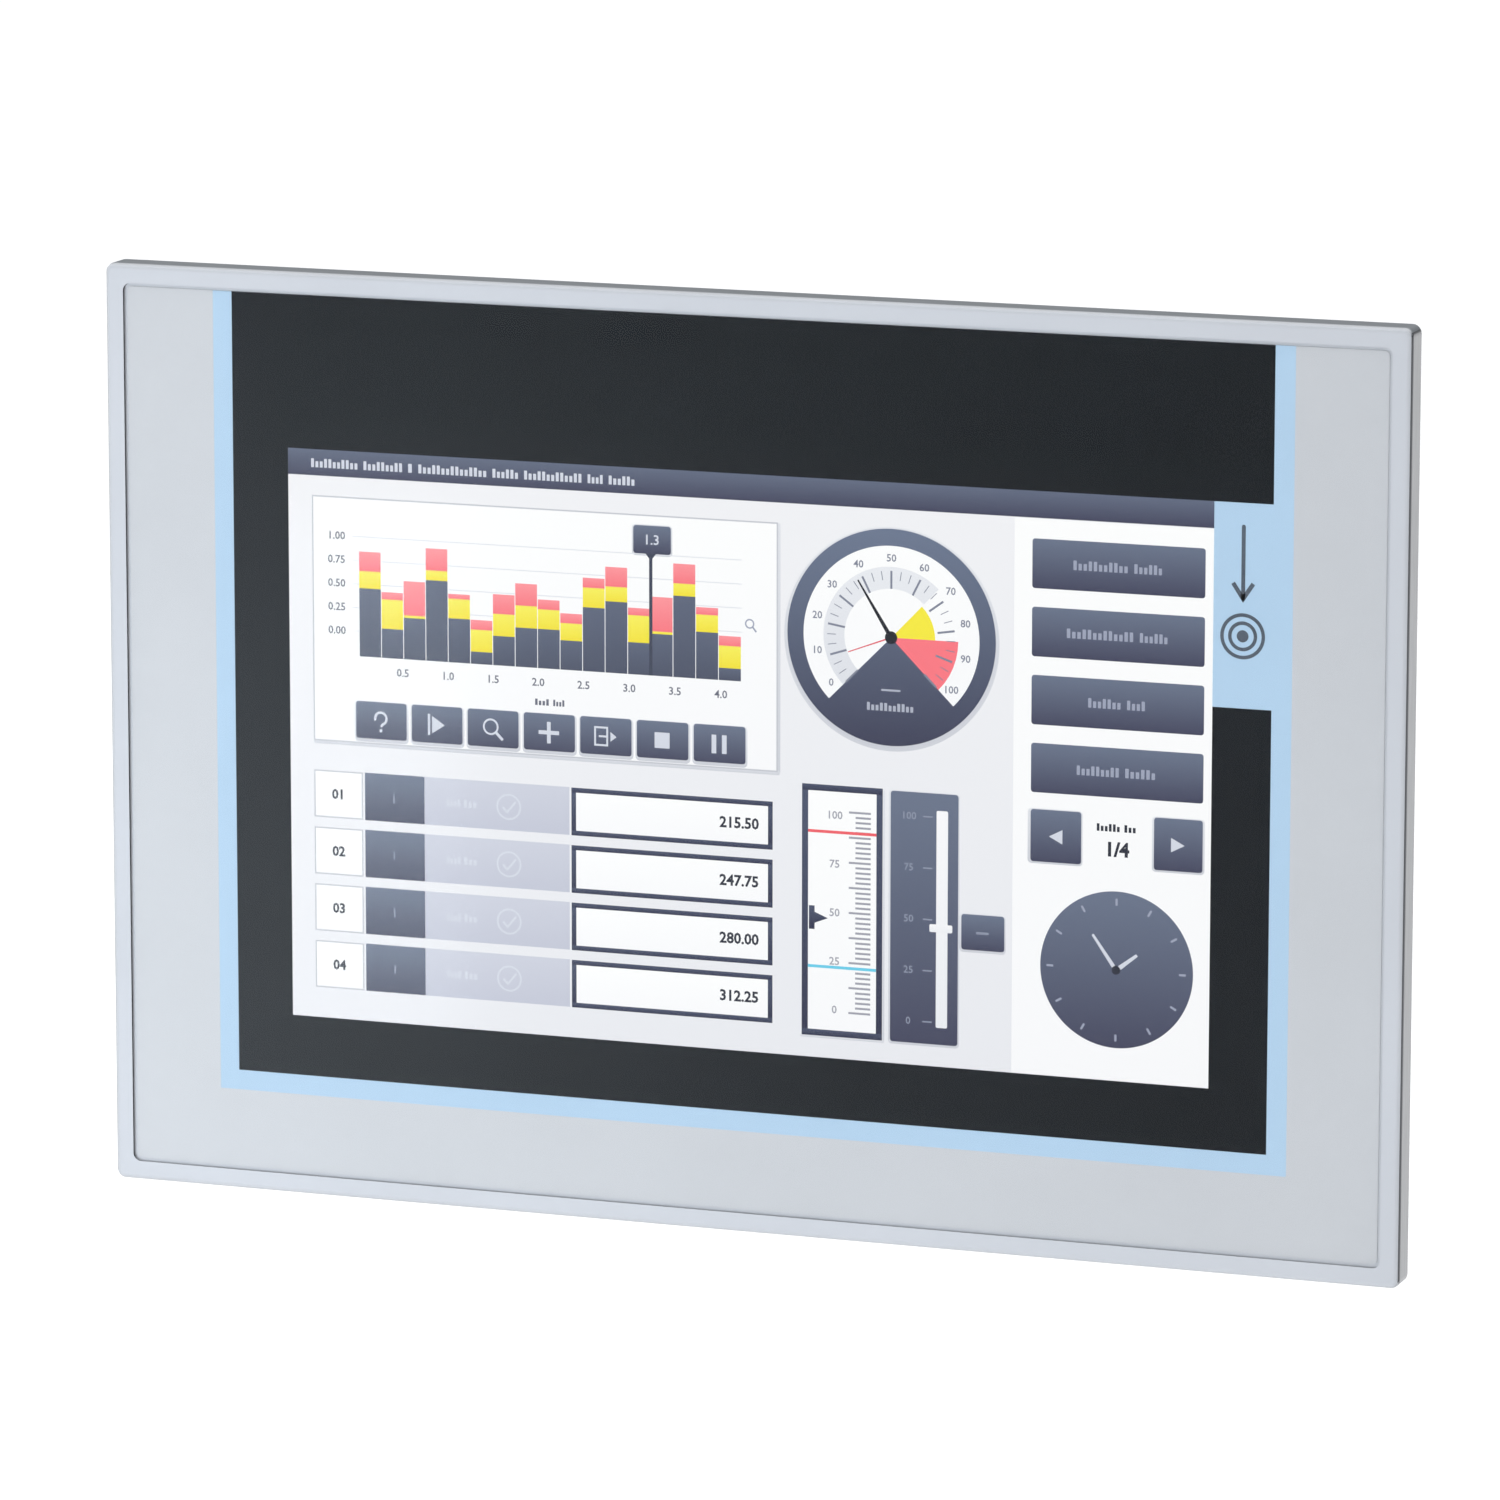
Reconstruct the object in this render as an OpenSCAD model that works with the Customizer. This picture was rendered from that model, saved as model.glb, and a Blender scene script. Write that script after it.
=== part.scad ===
// Built-in operator touch panel for a control cabinet door.
// Frame: +X to the right as seen by the operator, +Y into the cabinet, +Z up.
// Origin: centre of the cut-out, on the front surface of the cabinet sheet (y = 0).

/* [Front] */
// Overall width of the front
front_w = 274; // [268:1:300]
// Overall height of the front
front_h = 190; // [184:1:210]
// How far the front stands out from the cabinet sheet
front_t = 7; // [6.5:0.5:9]
// Radius of the front's outer corners
corner_r = 1.8; // [1.6:0.2:4]
// Radius along the front edge of the metal rim
edge_r = 1; // [0.4:0.1:1.5]
// Width of the bare metal rim around the film
rim_w = 3.9; // [3:0.1:5]
// Depth of the film below the rim
film_drop = 0.3; // [0.1:0.05:0.6]
// Width of the groove between the rim and the film
groove_w = 0.7; // [0.2:0.1:1]

/* [Printed front] */
// Width of the black field
black_w = 219; // [210:1:230]
// Bottom edge of the black field, measured from the centre
black_bottom = -70.2; // [-74:0.1:-68]
// Width of the pale blue stripe beside and below the black field
stripe_w = 4.1; // [2:0.1:5]
// Upper end of the blue tab at the right of the screen
tab_top = 59.2; // [50:0.1:65]
// Lower end of the blue tab
tab_bottom = 18.6; // [10:0.1:30]

/* [Screen] */
// Width of the viewing window
view_w = 195; // [190:1:197]
// Height of the viewing window
view_h = 117; // [112:1:119]
// Height of the window's centre above the centre of the front
view_z = 0.7; // [0:0.1:2]

/* [Housing] */
// Width of the neck that stands in the cut-out (cut-out 251)
neck_w = 249; // [247:0.5:250]
// Height of the neck that stands in the cut-out (cut-out 166)
neck_h = 164; // [162:0.5:165]
// Depth of the neck behind the cabinet sheet
neck_y = 10; // [9:0.5:10]
// Width of the rear box
box_w = 232; // [230:1:234]
// Height of the rear box
box_h = 152; // [150:1:154]
// Depth behind the cabinet sheet
depth = 56; // [54:1:60]
// Wall thickness of the housing
wall = 2; // [1.5:0.1:2]

/* [Mounting clips] */
// Distance from the middle clip to each outer clip
clip_pitch = 100; // [90:1:102]
// Height of each clamp screw above or below the centre
clamp_z = 87; // [86:0.1:87.5]
// Rest position of the pressure pads, behind the cabinet sheet's front
pad_y = 5.5; // [4:0.1:6]

/* [Hidden] */
$fn = 48;
CUT = 0.5; // how far a cutting tool runs past the face it cuts

// Layers of the front, from the operator inwards (y of each layer's front face)
film_y = -front_t + film_drop;
ink_y = film_y + 0.25;
touch_y = ink_y + 0.1;
tape_y = touch_y + 1.1;
ledge_y = tape_y + 0.2;
gasket_y = ledge_y + 1;
lcd_y = gasket_y + 0.4;
glass_y = lcd_y + 0.3;
sheets_y = glass_y + 1.4;
guide_y = sheets_y + 0.6;
plate_y = guide_y + 3;
lcd_end = plate_y + 0.6;
bezel_back = -0.5;
side_x = box_w / 2 - 4; // where the side walls meet the upper and lower walls
joint = 0.05; // width of the joints between the housing's sheets
plate_y0 = 22; // depth range of the socket plate in the lower wall
plate_y1 = 46;
carrier_y = lcd_end + 0.35;
carrier_t = 1;

// Printed front
film_w = front_w - 2 * (rim_w + groove_w);
film_h = front_h - 2 * (rim_w + groove_w);
film_top = film_h / 2;
black_x = black_w / 2;
stripe_x = black_x + stripe_w;
stripe_bottom = black_bottom - stripe_w;
view_x = view_w / 2;

// Display module
touch_w = view_w + 17;
touch_h = view_h + 17;
lcd_w = view_w + 16;
lcd_h = view_h + 14;
window_w = view_w + 6;
window_h = view_h + 6;

// Main board and what stands on it
board_y = 24;
board_t = 1.6;
board_top = 67;
board_bottom = -71;
board_x = 104;
deck_y = board_y + board_t;
mouth_z = -box_h / 2 + 0.2;
standoff_at = [for (x = [-98, 0, 98]) for (z = [-50, 60]) [x, z]];
carrier_screw_at = [for (x = [-111.5, 111.5]) for (z = [-55, view_z, 55]) [x, z]];
housing_screw_at = [for (x = [-119.2, 119.2]) for (z = [-66, -22, 22, 66]) [x, z]];

// Positions of the sockets along the lower edge
jack_x = [19, 37];
usb_x = [-17, -33];
service_x = -46;
audio_x = -55.5;
serial_x = -76;
power_x = 62;
pole_pitch = 5.08;
earth_x = 83;

// Memory cards, one deck above the other
card_z = 30;
card_y = [deck_y + 1.7, deck_y + 6.7];
card_t = 2.1;

// Clips: 1 to 3 along the top and 4 to 6 along the bottom, from -X to +X
function clip_x(i) = ((i - 1) % 3 - 1) * clip_pitch;
function clip_side(i) = i <= 3 ? 1 : -1;
clip_w = 12;
pad_t = 2.5;
screw_end = 32;

// ---------- shared shapes ----------

// Outline of a rectangle with round corners, about its own centre
function round_rect(w, h, r, steps = 6) = [
    for (corner = [0 : 3])
        let (sx = (corner == 0 || corner == 3) ? 1 : -1, sz = corner < 2 ? 1 : -1)
        for (k = [0 : steps])
            let (a = 90 * (corner + k / steps))
            [sx * (w / 2 - r) + r * cos(a), sz * (h / 2 - r) + r * sin(a)]
];

// Outline in X and Z, drawn out along Y from y0 to y1
module along_y(points, y0, y1, x = 0, z = 0) {
    translate([x, y1, z]) rotate([90, 0, 0]) linear_extrude(y1 - y0) polygon(points);
}

// Outline in Y and Z, drawn out along X from x0 to x1
module along_x(points, x0, x1) {
    translate([x0, 0, 0]) rotate([90, 0, 90]) linear_extrude(x1 - x0) polygon(points);
}

// Plate with round corners
module slab(w, h, r, y0, y1, x = 0, z = 0) {
    along_y(round_rect(w, h, r), y0, y1, x, z);
}

// Cuboid between two corners
module block(low, high) {
    translate(low) cube(high - low);
}

// Round bar along Y
module rod(r, y0, y1, x = 0, z = 0) {
    translate([x, y1, z]) rotate([90, 0, 0]) cylinder(r = r, h = y1 - y0);
}

// Round bar along Z
module post(r, z0, z1, x, y) {
    translate([x, y, z0]) cylinder(r = r, h = z1 - z0);
}

// Pan head screw along Y, its head resting on y = seat
module pan_screw(r, head_r, head_h, seat, tip, x, z) {
    difference() {
        union() {
            rod(r, tip, seat + 0.1, x, z);
            translate([x, seat, z]) rotate([-90, 0, 0])
                cylinder(r1 = head_r, r2 = head_r * 0.82, h = head_h);
        }
        for (turn = [0, 90])
            translate([x, seat + head_h, z]) rotate([0, turn, 0])
                cube([head_r, head_h, head_r * 0.22], center = true);
    }
}

// ---------- front ----------

// Cast front: rim, film recess, touch pocket, window, LCD pocket and seal groove
module front_bezel() {
    color("silver") difference() {
        hull() {
            for (k = [0 : 4])
                let (a = 90 * k / 4, inset = edge_r * (1 - sin(a)))
                slab(front_w - 2 * inset, front_h - 2 * inset, corner_r - inset,
                     -front_t + edge_r * (1 - cos(a)), bezel_back);
        }
        slab(film_w + 2 * groove_w, film_h + 2 * groove_w, 1.6, -front_t - CUT, touch_y);
        slab(touch_w + 1, touch_h + 1, 1, touch_y - CUT, ledge_y, 0, view_z);
        slab(window_w, window_h, 1, ledge_y - CUT, gasket_y + CUT, 0, view_z);
        slab(lcd_w + 3, lcd_h + 3, 1, gasket_y, bezel_back + CUT, 0, view_z);
        seal_ring(0.2, bezel_back - 0.5, bezel_back + CUT);
        touch_slot();
        for (p = carrier_screw_at) rod(1.55, -5, bezel_back + CUT, p[0], p[1]);
        for (p = housing_screw_at) rod(1.55, -5, bezel_back + CUT, p[0], p[1]);
    }
}

// Slot that lets the touch tail pass the ledge
module touch_slot() {
    block([-62, ledge_y - CUT, view_z - touch_h / 2], [-48, gasket_y + CUT, view_z - lcd_h / 2 - 0.1]);
}

// Ring of the seal, grown by play on each side
module seal_ring(play, y0, y1) {
    difference() {
        slab(264 + 2 * play, 182 + 2 * play, 4, y0, y1);
        slab(256 - 2 * play, 174 - 2 * play, 3, y0 - CUT, y1 + CUT);
    }
}

module mounting_seal() {
    color("dimgray") seal_ring(0, bezel_back - 0.5, 0);
}

module front_film() {
    color([0.9, 0.93, 0.96, 0.35]) slab(film_w, film_h, 1, film_y, ink_y - 0.03);
}

// Ink layer over a rectangle of the film's back
module ink(x0, x1, z0, z1) {
    block([x0, ink_y, z0], [x1, touch_y, z1]);
}

module film_print_silver() {
    color([0.8, 0.82, 0.86]) difference() {
        slab(film_w, film_h, 1, ink_y, touch_y);
        block([-stripe_x, ink_y - CUT, stripe_bottom], [stripe_x, touch_y + CUT, film_top + CUT]);
    }
}

module film_print_blue() {
    color([0.62, 0.78, 0.9]) {
        ink(-stripe_x, -black_x, stripe_bottom, film_top);
        ink(black_x, stripe_x, stripe_bottom, film_top);
        ink(-black_x, black_x, stripe_bottom, black_bottom);
        ink(view_x, black_x, tab_bottom, tab_top);
    }
}

module film_print_black() {
    color([0.15, 0.16, 0.18]) difference() {
        ink(-black_x, black_x, black_bottom, film_top);
        block([-view_x, ink_y - CUT, view_z - view_h / 2], [view_x, touch_y + CUT, view_z + view_h / 2]);
        block([view_x - CUT, ink_y - CUT, tab_bottom], [black_x + CUT, touch_y + CUT, tab_top]);
    }
}

module touch_sensor() {
    color([0.75, 0.85, 0.85, 0.3]) slab(touch_w, touch_h, 0.6, touch_y, tape_y, 0, view_z);
}

module touch_tape() {
    color("black") difference() {
        slab(touch_w - 0.4, touch_h - 0.4, 0.6, tape_y, ledge_y, 0, view_z);
        slab(window_w, window_h, 0.6, tape_y - CUT, ledge_y + CUT, 0, view_z);
        touch_tail_path(0.3);
    }
}

// Flat tail of the touch sensor, from its lower edge back to the board
module touch_tail_path(play) {
    z = view_z - lcd_h / 2 - 0.8;
    block([-60 - play, tape_y, z - play], [-50 + play, board_y - 3, z + 0.3 + play]);
}

module touch_tail() {
    color("peru") touch_tail_path(0);
}

// ---------- display ----------

module lcd_gasket() {
    color("black") difference() {
        slab(lcd_w - 1, lcd_h - 1, 0.6, gasket_y, lcd_y, 0, view_z);
        slab(window_w, window_h, 0.6, gasket_y - CUT, lcd_y + CUT, 0, view_z);
    }
}

module lcd_frame() {
    color("lightgray") difference() {
        slab(lcd_w, lcd_h, 0.8, lcd_y, lcd_end, 0, view_z);
        slab(view_w + 5, view_h + 5, 0.5, lcd_y - CUT, glass_y + CUT, 0, view_z);
        slab(lcd_w - 1, lcd_h - 1, 0.5, glass_y, lcd_end + CUT, 0, view_z);
    }
}

module lcd_panel() {
    color("darkslategray") slab(lcd_w - 1.6, lcd_h - 1.6, 0.4, glass_y, sheets_y, 0, view_z);
}

module diffuser_sheets() {
    color("white") slab(lcd_w - 2, lcd_h - 2, 0.4, sheets_y, guide_y, 0, view_z);
}

module light_guide() {
    color("azure") slab(lcd_w - 4, lcd_h - 8, 0.4, guide_y, plate_y, 0, view_z + 2);
}

// Strip of light emitting diodes under the light guide's lower edge
module led_strip() {
    z = view_z - lcd_h / 2 + 1.2;
    color("gold") {
        block([-lcd_w / 2 + 3, guide_y, z], [lcd_w / 2 - 3, plate_y, z + 0.8]);
        for (k = [-12 : 12])
            block([8 * k - 1.6, guide_y + 0.5, z + 0.8], [8 * k + 1.6, plate_y - 0.5, z + 2]);
    }
}

module lcd_back_plate() {
    color("silver") slab(lcd_w - 1.2, lcd_h - 1.2, 0.5, plate_y, lcd_end, 0, view_z);
}

// Ribbon that folds away from the display's back and runs to the board
module lcd_cable() {
    flat = 0.3;
    end_y = board_y - 3;
    color("peru") along_x([
        [lcd_end, 38], [lcd_end, 50], [end_y, 50], [end_y, 50 - flat],
        [lcd_end + flat, 50 - flat], [lcd_end + flat, 38]
    ], 28, 52);
}

// Pressed sheet that clamps the display to the front and carries the board
module display_carrier() {
    color("gainsboro") difference() {
        union() {
            slab(230, 140, 4, carrier_y, carrier_y + carrier_t, 0, 1);
            for (p = carrier_screw_at) rod(3.2, bezel_back, carrier_y + 0.1, p[0], p[1]);
        }
        for (p = carrier_screw_at) rod(1.6, bezel_back - CUT, carrier_y + carrier_t + CUT, p[0], p[1]);
        for (p = standoff_at) rod(1.4, carrier_y - CUT, carrier_y + carrier_t + CUT, p[0], p[1]);
        block([26, carrier_y - CUT, 36], [54, carrier_y + carrier_t + CUT, 54]);
        block([-63, carrier_y - CUT, -68], [-47, carrier_y + carrier_t + CUT, -61]);
        for (x = [-60, 60]) slab(50, 60, 8, carrier_y - CUT, carrier_y + carrier_t + CUT, x, -10);
    }
}

module carrier_screws() {
    color("silver") for (p = carrier_screw_at)
        pan_screw(1.5, 2.8, 1.8, carrier_y + carrier_t, -4.5, p[0], p[1]);
}

module board_standoffs() {
    color("goldenrod") for (p = standoff_at) difference() {
        translate([p[0], board_y, p[1]]) rotate([90, 0, 0])
            cylinder(r = 3.2, h = board_y - carrier_y - carrier_t, $fn = 6);
        rod(1.55, board_y - 8, board_y + CUT, p[0], p[1]);
    }
}

// ---------- electronics ----------

module main_board() {
    color("darkgreen") difference() {
        slab(2 * board_x, board_top - board_bottom, 2, board_y, deck_y,
             0, (board_top + board_bottom) / 2);
        for (p = standoff_at) rod(1.6, board_y - CUT, deck_y + CUT, p[0], p[1]);
    }
}

module board_screws() {
    color("silver") for (p = standoff_at)
        pan_screw(1.5, 2.8, 1.8, deck_y, board_y - 6, p[0], p[1]);
}

// Processor under the heat sink, memory and controllers beside it
module board_chips() {
    color([0.1, 0.1, 0.11]) {
        block([-14, deck_y, 8], [14, deck_y + 2, 36]);
        for (x = [24, 38, 52]) block([x, deck_y, 26], [x + 9, deck_y + 1.1, 38]);
        for (x = [-30, 20]) block([x, deck_y, -38], [x + 12, deck_y + 1.2, -26]);
        block([52, deck_y, -30], [64, deck_y + 1.4, -22]);
    }
}

module thermal_pad() {
    color("lightsteelblue") block([-13, deck_y + 2, 9], [13, deck_y + 2.4, 35]);
}

// Finned heat sink, fins upright
module heat_sink() {
    base_y = deck_y + 2.4;
    color("silver") {
        block([-20, base_y, 0], [20, base_y + 3, 44]);
        for (x = [-20 : 4.2 : 18]) block([x, base_y + 2.9, 0], [x + 1.4, base_y + 20, 44]);
    }
}

module power_capacitors() {
    color("midnightblue") for (p = [[62, -44], [75, -44], [88, -44]])
        rod(5, deck_y, deck_y + 16, p[0], p[1]);
}

// Sockets on the board's front side for the two flat cables
module cable_sockets() {
    color("ivory") {
        block([26, board_y - 3, 46], [54, board_y, 52]);
        block([-62, board_y - 3, -68], [-48, board_y, -62]);
    }
}

// ---------- sockets along the lower edge ----------

// Box with a cavity that opens downwards
module socket_shell(x, w, y0, y1, length, rim, depth_in) {
    difference() {
        block([x - w / 2, y0, mouth_z], [x + w / 2, y1, mouth_z + length]);
        block([x - w / 2 + rim, y0 + rim, mouth_z - CUT], [x + w / 2 - rim, y1 - rim, mouth_z + depth_in]);
    }
}

module ethernet_jacks() {
    color("gainsboro") for (x = jack_x)
        socket_shell(x, 16, deck_y, deck_y + 13.4, 18, 2, 13);
}

// Each socket has the tongue that carries the contacts
module usb_sockets() {
    color("silver") for (x = usb_x) {
        socket_shell(x, 13.2, deck_y, deck_y + 5.8, 14, 0.5, 11);
        block([x - 5.5, deck_y + 2.8, mouth_z + 1], [x + 5.5, deck_y + 4.6, mouth_z + 11.1]);
    }
}

module service_socket() {
    color("silver") socket_shell(service_x, 7.6, deck_y, deck_y + 4, 9, 0.4, 6);
}

module audio_socket() {
    color("dimgray") difference() {
        union() {
            block([audio_x - 3.5, deck_y, mouth_z + 2.5], [audio_x + 3.5, deck_y + 6.6, mouth_z + 14]);
            post(3, mouth_z - 0.2, mouth_z + 3, audio_x, deck_y + 3.3);
        }
        post(1.8, mouth_z - 1, mouth_z + 12, audio_x, deck_y + 3.3);
    }
}

// Outline of the nine-pole plug face
function d_outline(w, h, slant) = [
    [-w / 2, h / 2], [w / 2, h / 2], [w / 2 - slant, -h / 2], [-w / 2 + slant, -h / 2]
];

module d_shape(w, h, z0, z1) {
    translate([serial_x, serial_y, z0]) linear_extrude(z1 - z0) polygon(d_outline(w, h, 1.6));
}

serial_y = deck_y + 6.6;
serial_screw_pitch = 25;

module serial_connector() {
    plate_z = -box_h / 2 + wall + 0.3;
    color("silver") {
        difference() {
            union() {
                block([serial_x - 15.4, deck_y + 0.35, plate_z], [serial_x + 15.4, deck_y + 12.85, plate_z + 1]);
                d_shape(17.4, 9, plate_z - 8.3, plate_z + 0.1);
                block([serial_x - 9.5, deck_y, plate_z + 0.9], [serial_x + 9.5, deck_y + 12, plate_z + 9]);
            }
            d_shape(16.4, 8, plate_z - 9, plate_z - 2);
            for (side = [-1, 1])
                post(1.6, plate_z - CUT, plate_z + 1.5, serial_x + side * serial_screw_pitch / 2, serial_y);
        }
        for (row = [0, 1]) for (k = [0 : 4 - row])
            post(0.5, plate_z - 7, plate_z - 1.9, serial_x + (k - 2 + row / 2) * 2.77, serial_y + 1.42 - row * 2.84);
    }
}

// Hexagon posts that lock the mating plug, with threaded holes
module serial_jackscrews() {
    face_z = -box_h / 2;
    color("silver") for (side = [-1, 1]) {
        x = serial_x + side * serial_screw_pitch / 2;
        difference() {
            union() {
                translate([x, serial_y, face_z - 5]) cylinder(r = 2.7, h = 5, $fn = 6);
                post(1.5, face_z - 0.1, face_z + 5, x, serial_y);
            }
            post(1.25, face_z - 6, face_z - 0.5, x, serial_y);
        }
    }
}

// ---------- power supply plug ----------

function pole_x(i) = power_x + (i - 1.5) * pole_pitch;
power_y = deck_y + 6.2;
clamp_screw_z = -82;

module power_header() {
    color("darkgreen") {
        difference() {
            block([power_x - 7.3, deck_y, mouth_z], [power_x + 7.3, power_y + 5.8, -62]);
            block([power_x - 6.1, power_y - 4.7, mouth_z - CUT], [power_x + 6.1, power_y + 4.6, -64]);
        }
        for (i = [1, 2]) post(0.5, -74, -63.9, pole_x(i), power_y);
    }
}

// Plug body with pin holes, cage chambers, wire entries and screw wells
module power_plug() {
    color("seagreen") difference() {
        union() {
            block([power_x - 5.8, power_y - 4.4, -76.5], [power_x + 5.8, power_y + 4.3, -66.5]);
            block([power_x - 6.8, power_y - 5.6, -89], [power_x + 6.8, power_y + 6.8, -76.4]);
        }
        for (i = [1, 2]) {
            post(0.8, -75, -66, pole_x(i), power_y);
            block([pole_x(i) - 2.1, power_y - 3.6, -85], [pole_x(i) + 2.1, power_y + 3.4, -79]);
            post(1.6, -90, -84.9, pole_x(i), power_y - 1);
            rod(1.4, power_y, power_y + 5, pole_x(i), clamp_screw_z);
            rod(2.2, power_y + 3.7, power_y + 7, pole_x(i), clamp_screw_z);
        }
    }
}

// Cage that rises towards the screw head and grips the wire
module wire_cage(i) {
    low = power_y - 3.3;
    color("khaki") difference() {
        block([pole_x(i) - 1.9, low, clamp_screw_z - 2], [pole_x(i) + 1.9, low + 4.8, clamp_screw_z + 2]);
        block([pole_x(i) - 1.45, low + 0.9, clamp_screw_z - 3], [pole_x(i) + 1.45, low + 3.8, clamp_screw_z + 3]);
        rod(1.35, low + 3.5, low + 5, pole_x(i), clamp_screw_z);
    }
}

module terminal_screw(i) {
    x = pole_x(i);
    color("silver") difference() {
        union() {
            rod(1.3, power_y - 0.6, power_y + 3.9, x, clamp_screw_z);
            rod(1.9, power_y + 3.8, power_y + 6, x, clamp_screw_z);
        }
        translate([x, power_y + 6, clamp_screw_z]) cube([4.4, 1.6, 0.7], center = true);
    }
}

// ---------- memory cards ----------

module card_socket() {
    color("silver") difference() {
        block([-board_x, deck_y, card_z - 14], [-76, deck_y + 10.2, card_z + 14]);
        for (y = card_y)
            block([-board_x - CUT, y - 0.3, card_z - 12.3], [-84.5, y + card_t + 0.3, card_z + 12.3]);
    }
}

// Card with its cut corner, standing just proud of the housing
module memory_card(i) {
    inner = -85;
    outer = -box_w / 2 - 1.5;
    cut_corner = 3;
    color([0.12, 0.13, 0.16]) along_y([
        [outer, card_z - 12], [inner - cut_corner, card_z - 12], [inner, card_z - 12 + cut_corner],
        [inner, card_z + 12], [outer, card_z + 12]
    ], card_y[i - 1], card_y[i - 1] + card_t);
}

// ---------- housing ----------

module rear_housing() {
    color("lightslategray") difference() {
        union() {
            slab(neck_w, neck_h, 4, bezel_back, neck_y);
            slab(box_w, box_h, 4, neck_y - 1, depth);
            cable_lugs();
        }
        difference() {
            slab(neck_w - 2 * wall, neck_h - 2 * wall, 3, bezel_back - CUT, neck_y - wall);
            for (p = housing_screw_at) rod(2.95, bezel_back, neck_y, p[0], p[1]);
        }
        slab(box_w - 2 * wall, box_h - 2 * wall, 3, neck_y - wall - CUT, depth - wall);
        for (p = housing_screw_at) rod(1.6, bezel_back - CUT, neck_y + CUT, p[0], p[1]);
        floor_cut(-side_x, side_x, plate_y0, plate_y1);
        housing_joints();
        card_slots();
        clip_slots();
        vents();
        slab(74.4, 44.4, 1, depth - 0.4, depth + CUT, 0, -30);
    }
}

// Narrow joints between the neck's frame, the four walls and the back of the box
module housing_joints() {
    z = neck_h / 2 + 1;
    block([-box_w, neck_y, -z], [box_w, neck_y + joint, z]);
    block([-box_w, depth - wall - joint, -z], [box_w, depth - wall, z]);
    for (side = [-1, 1])
        block([side * side_x - joint / 2, bezel_back - CUT, -z], [side * side_x + joint / 2, depth - wall, z]);
}

// T-shaped lugs along the lower edge that cables are tied to
module cable_lugs() {
    for (x = [-76 : 38 : 76]) {
        block([x - 1.8, depth - 5, -box_h / 2 - 4], [x + 1.8, depth - 3, -box_h / 2 + 1]);
        block([x - 4, depth - 5, -box_h / 2 - 5.5], [x + 4, depth - 3, -box_h / 2 - 3.5]);
    }
}

// Stamped plate in the lower wall, with the openings for the sockets
module socket_plate() {
    color("gainsboro") difference() {
        block([joint - side_x, plate_y0 + joint, -box_h / 2], [side_x - joint, plate_y1 - joint, wall - box_h / 2]);
        socket_cutouts();
    }
}

// Opening through the lower wall
module floor_cut(x0, x1, y0, y1) {
    block([x0, y0, -box_h / 2 - 1], [x1, y1, -box_h / 2 + wall + 1]);
}

module socket_cutouts() {
    gap = 0.3;
    for (x = jack_x) floor_cut(x - 8 - gap, x + 8 + gap, deck_y - gap, deck_y + 13.4 + gap);
    for (x = usb_x) floor_cut(x - 6.6 - gap, x + 6.6 + gap, deck_y - gap, deck_y + 5.8 + gap);
    floor_cut(service_x - 3.8 - gap, service_x + 3.8 + gap, deck_y - gap, deck_y + 4 + gap);
    post(3 + gap, -box_h / 2 - 1, -box_h / 2 + wall + 1, audio_x, deck_y + 3.3);
    floor_cut(serial_x - 9.2, serial_x + 9.2, serial_y - 5, serial_y + 5);
    for (side = [-1, 1])
        post(1.6, -box_h / 2 - 1, -box_h / 2 + wall + 1, serial_x + side * serial_screw_pitch / 2, serial_y);
    floor_cut(power_x - 7.3 - gap, power_x + 7.3 + gap, deck_y - gap, power_y + 5.8 + gap);
    post(2.05, -box_h / 2 - 1, -box_h / 2 + wall + 1, earth_x, 40);
}

module card_slots() {
    for (y = card_y)
        block([-box_w / 2 - 1, y - 0.4, card_z - 12.6], [-box_w / 2 + wall + 1, y + card_t + 0.4, card_z + 12.6]);
}

module clip_slots() {
    for (i = [1 : 6]) mirror([0, 0, clip_side(i) < 0 ? 1 : 0])
        block([clip_x(i) - 6, 12, box_h / 2 - wall - 1], [clip_x(i) + 6, 20.2, box_h / 2 + 1]);
}

// Cooling slots: two fields in the back and one row in the top
module vents() {
    for (x = [-103 : 6 : -31]) {
        for (side = [-1, 1]) {
            block([side * x - 1.4, depth - wall - 1, 34], [side * x + 1.4, depth + 1, 60]);
            block([side * x - 1.4, 27, box_h / 2 - wall - 1], [side * x + 1.4, 50, box_h / 2 + 1]);
        }
    }
}

module housing_screws() {
    color("silver") for (p = housing_screw_at)
        pan_screw(1.5, 2.7, 1.8, neck_y, -4.5, p[0], p[1]);
}

// Earth terminal under the housing, with its washer
module earth_screw() {
    z = -box_h / 2;
    color("gold") difference() {
        union() {
            post(2, z - 1, z + 6, earth_x, 40);
            post(4.5, z - 0.8, z, earth_x, 40);
            post(3.5, z - 3.2, z - 0.7, earth_x, 40);
        }
        translate([earth_x, 40, z - 3.2]) cube([8, 1, 2], center = true);
    }
}

module rating_label() {
    color("whitesmoke") slab(74, 44, 0.8, depth - 0.4, depth - 0.2, 0, -30);
}

// ---------- mounting clips ----------

module mounting_clips() {
    foot_z = box_h / 2 + 0.3;
    color("lightgray") for (i = [1 : 6]) mirror([0, 0, clip_side(i) < 0 ? 1 : 0]) difference() {
        union() {
            along_x([
                [10.5, foot_z], [23, foot_z], [23, clamp_z - 0.6], [20, clamp_z + 3.2], [10.5, clamp_z + 3.2]
            ], clip_x(i) - clip_w / 2, clip_x(i) + clip_w / 2);
            along_x([
                [16, foot_z + 1], [16, foot_z - 4.4], [23.5, foot_z - 4.4], [23.5, foot_z - 2.6],
                [20, foot_z - 2.6], [20, foot_z + 1]
            ], clip_x(i) - 5.5, clip_x(i) + 5.5);
        }
        rod(2.05, 10, 24, clip_x(i), clamp_z);
    }
}

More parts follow.
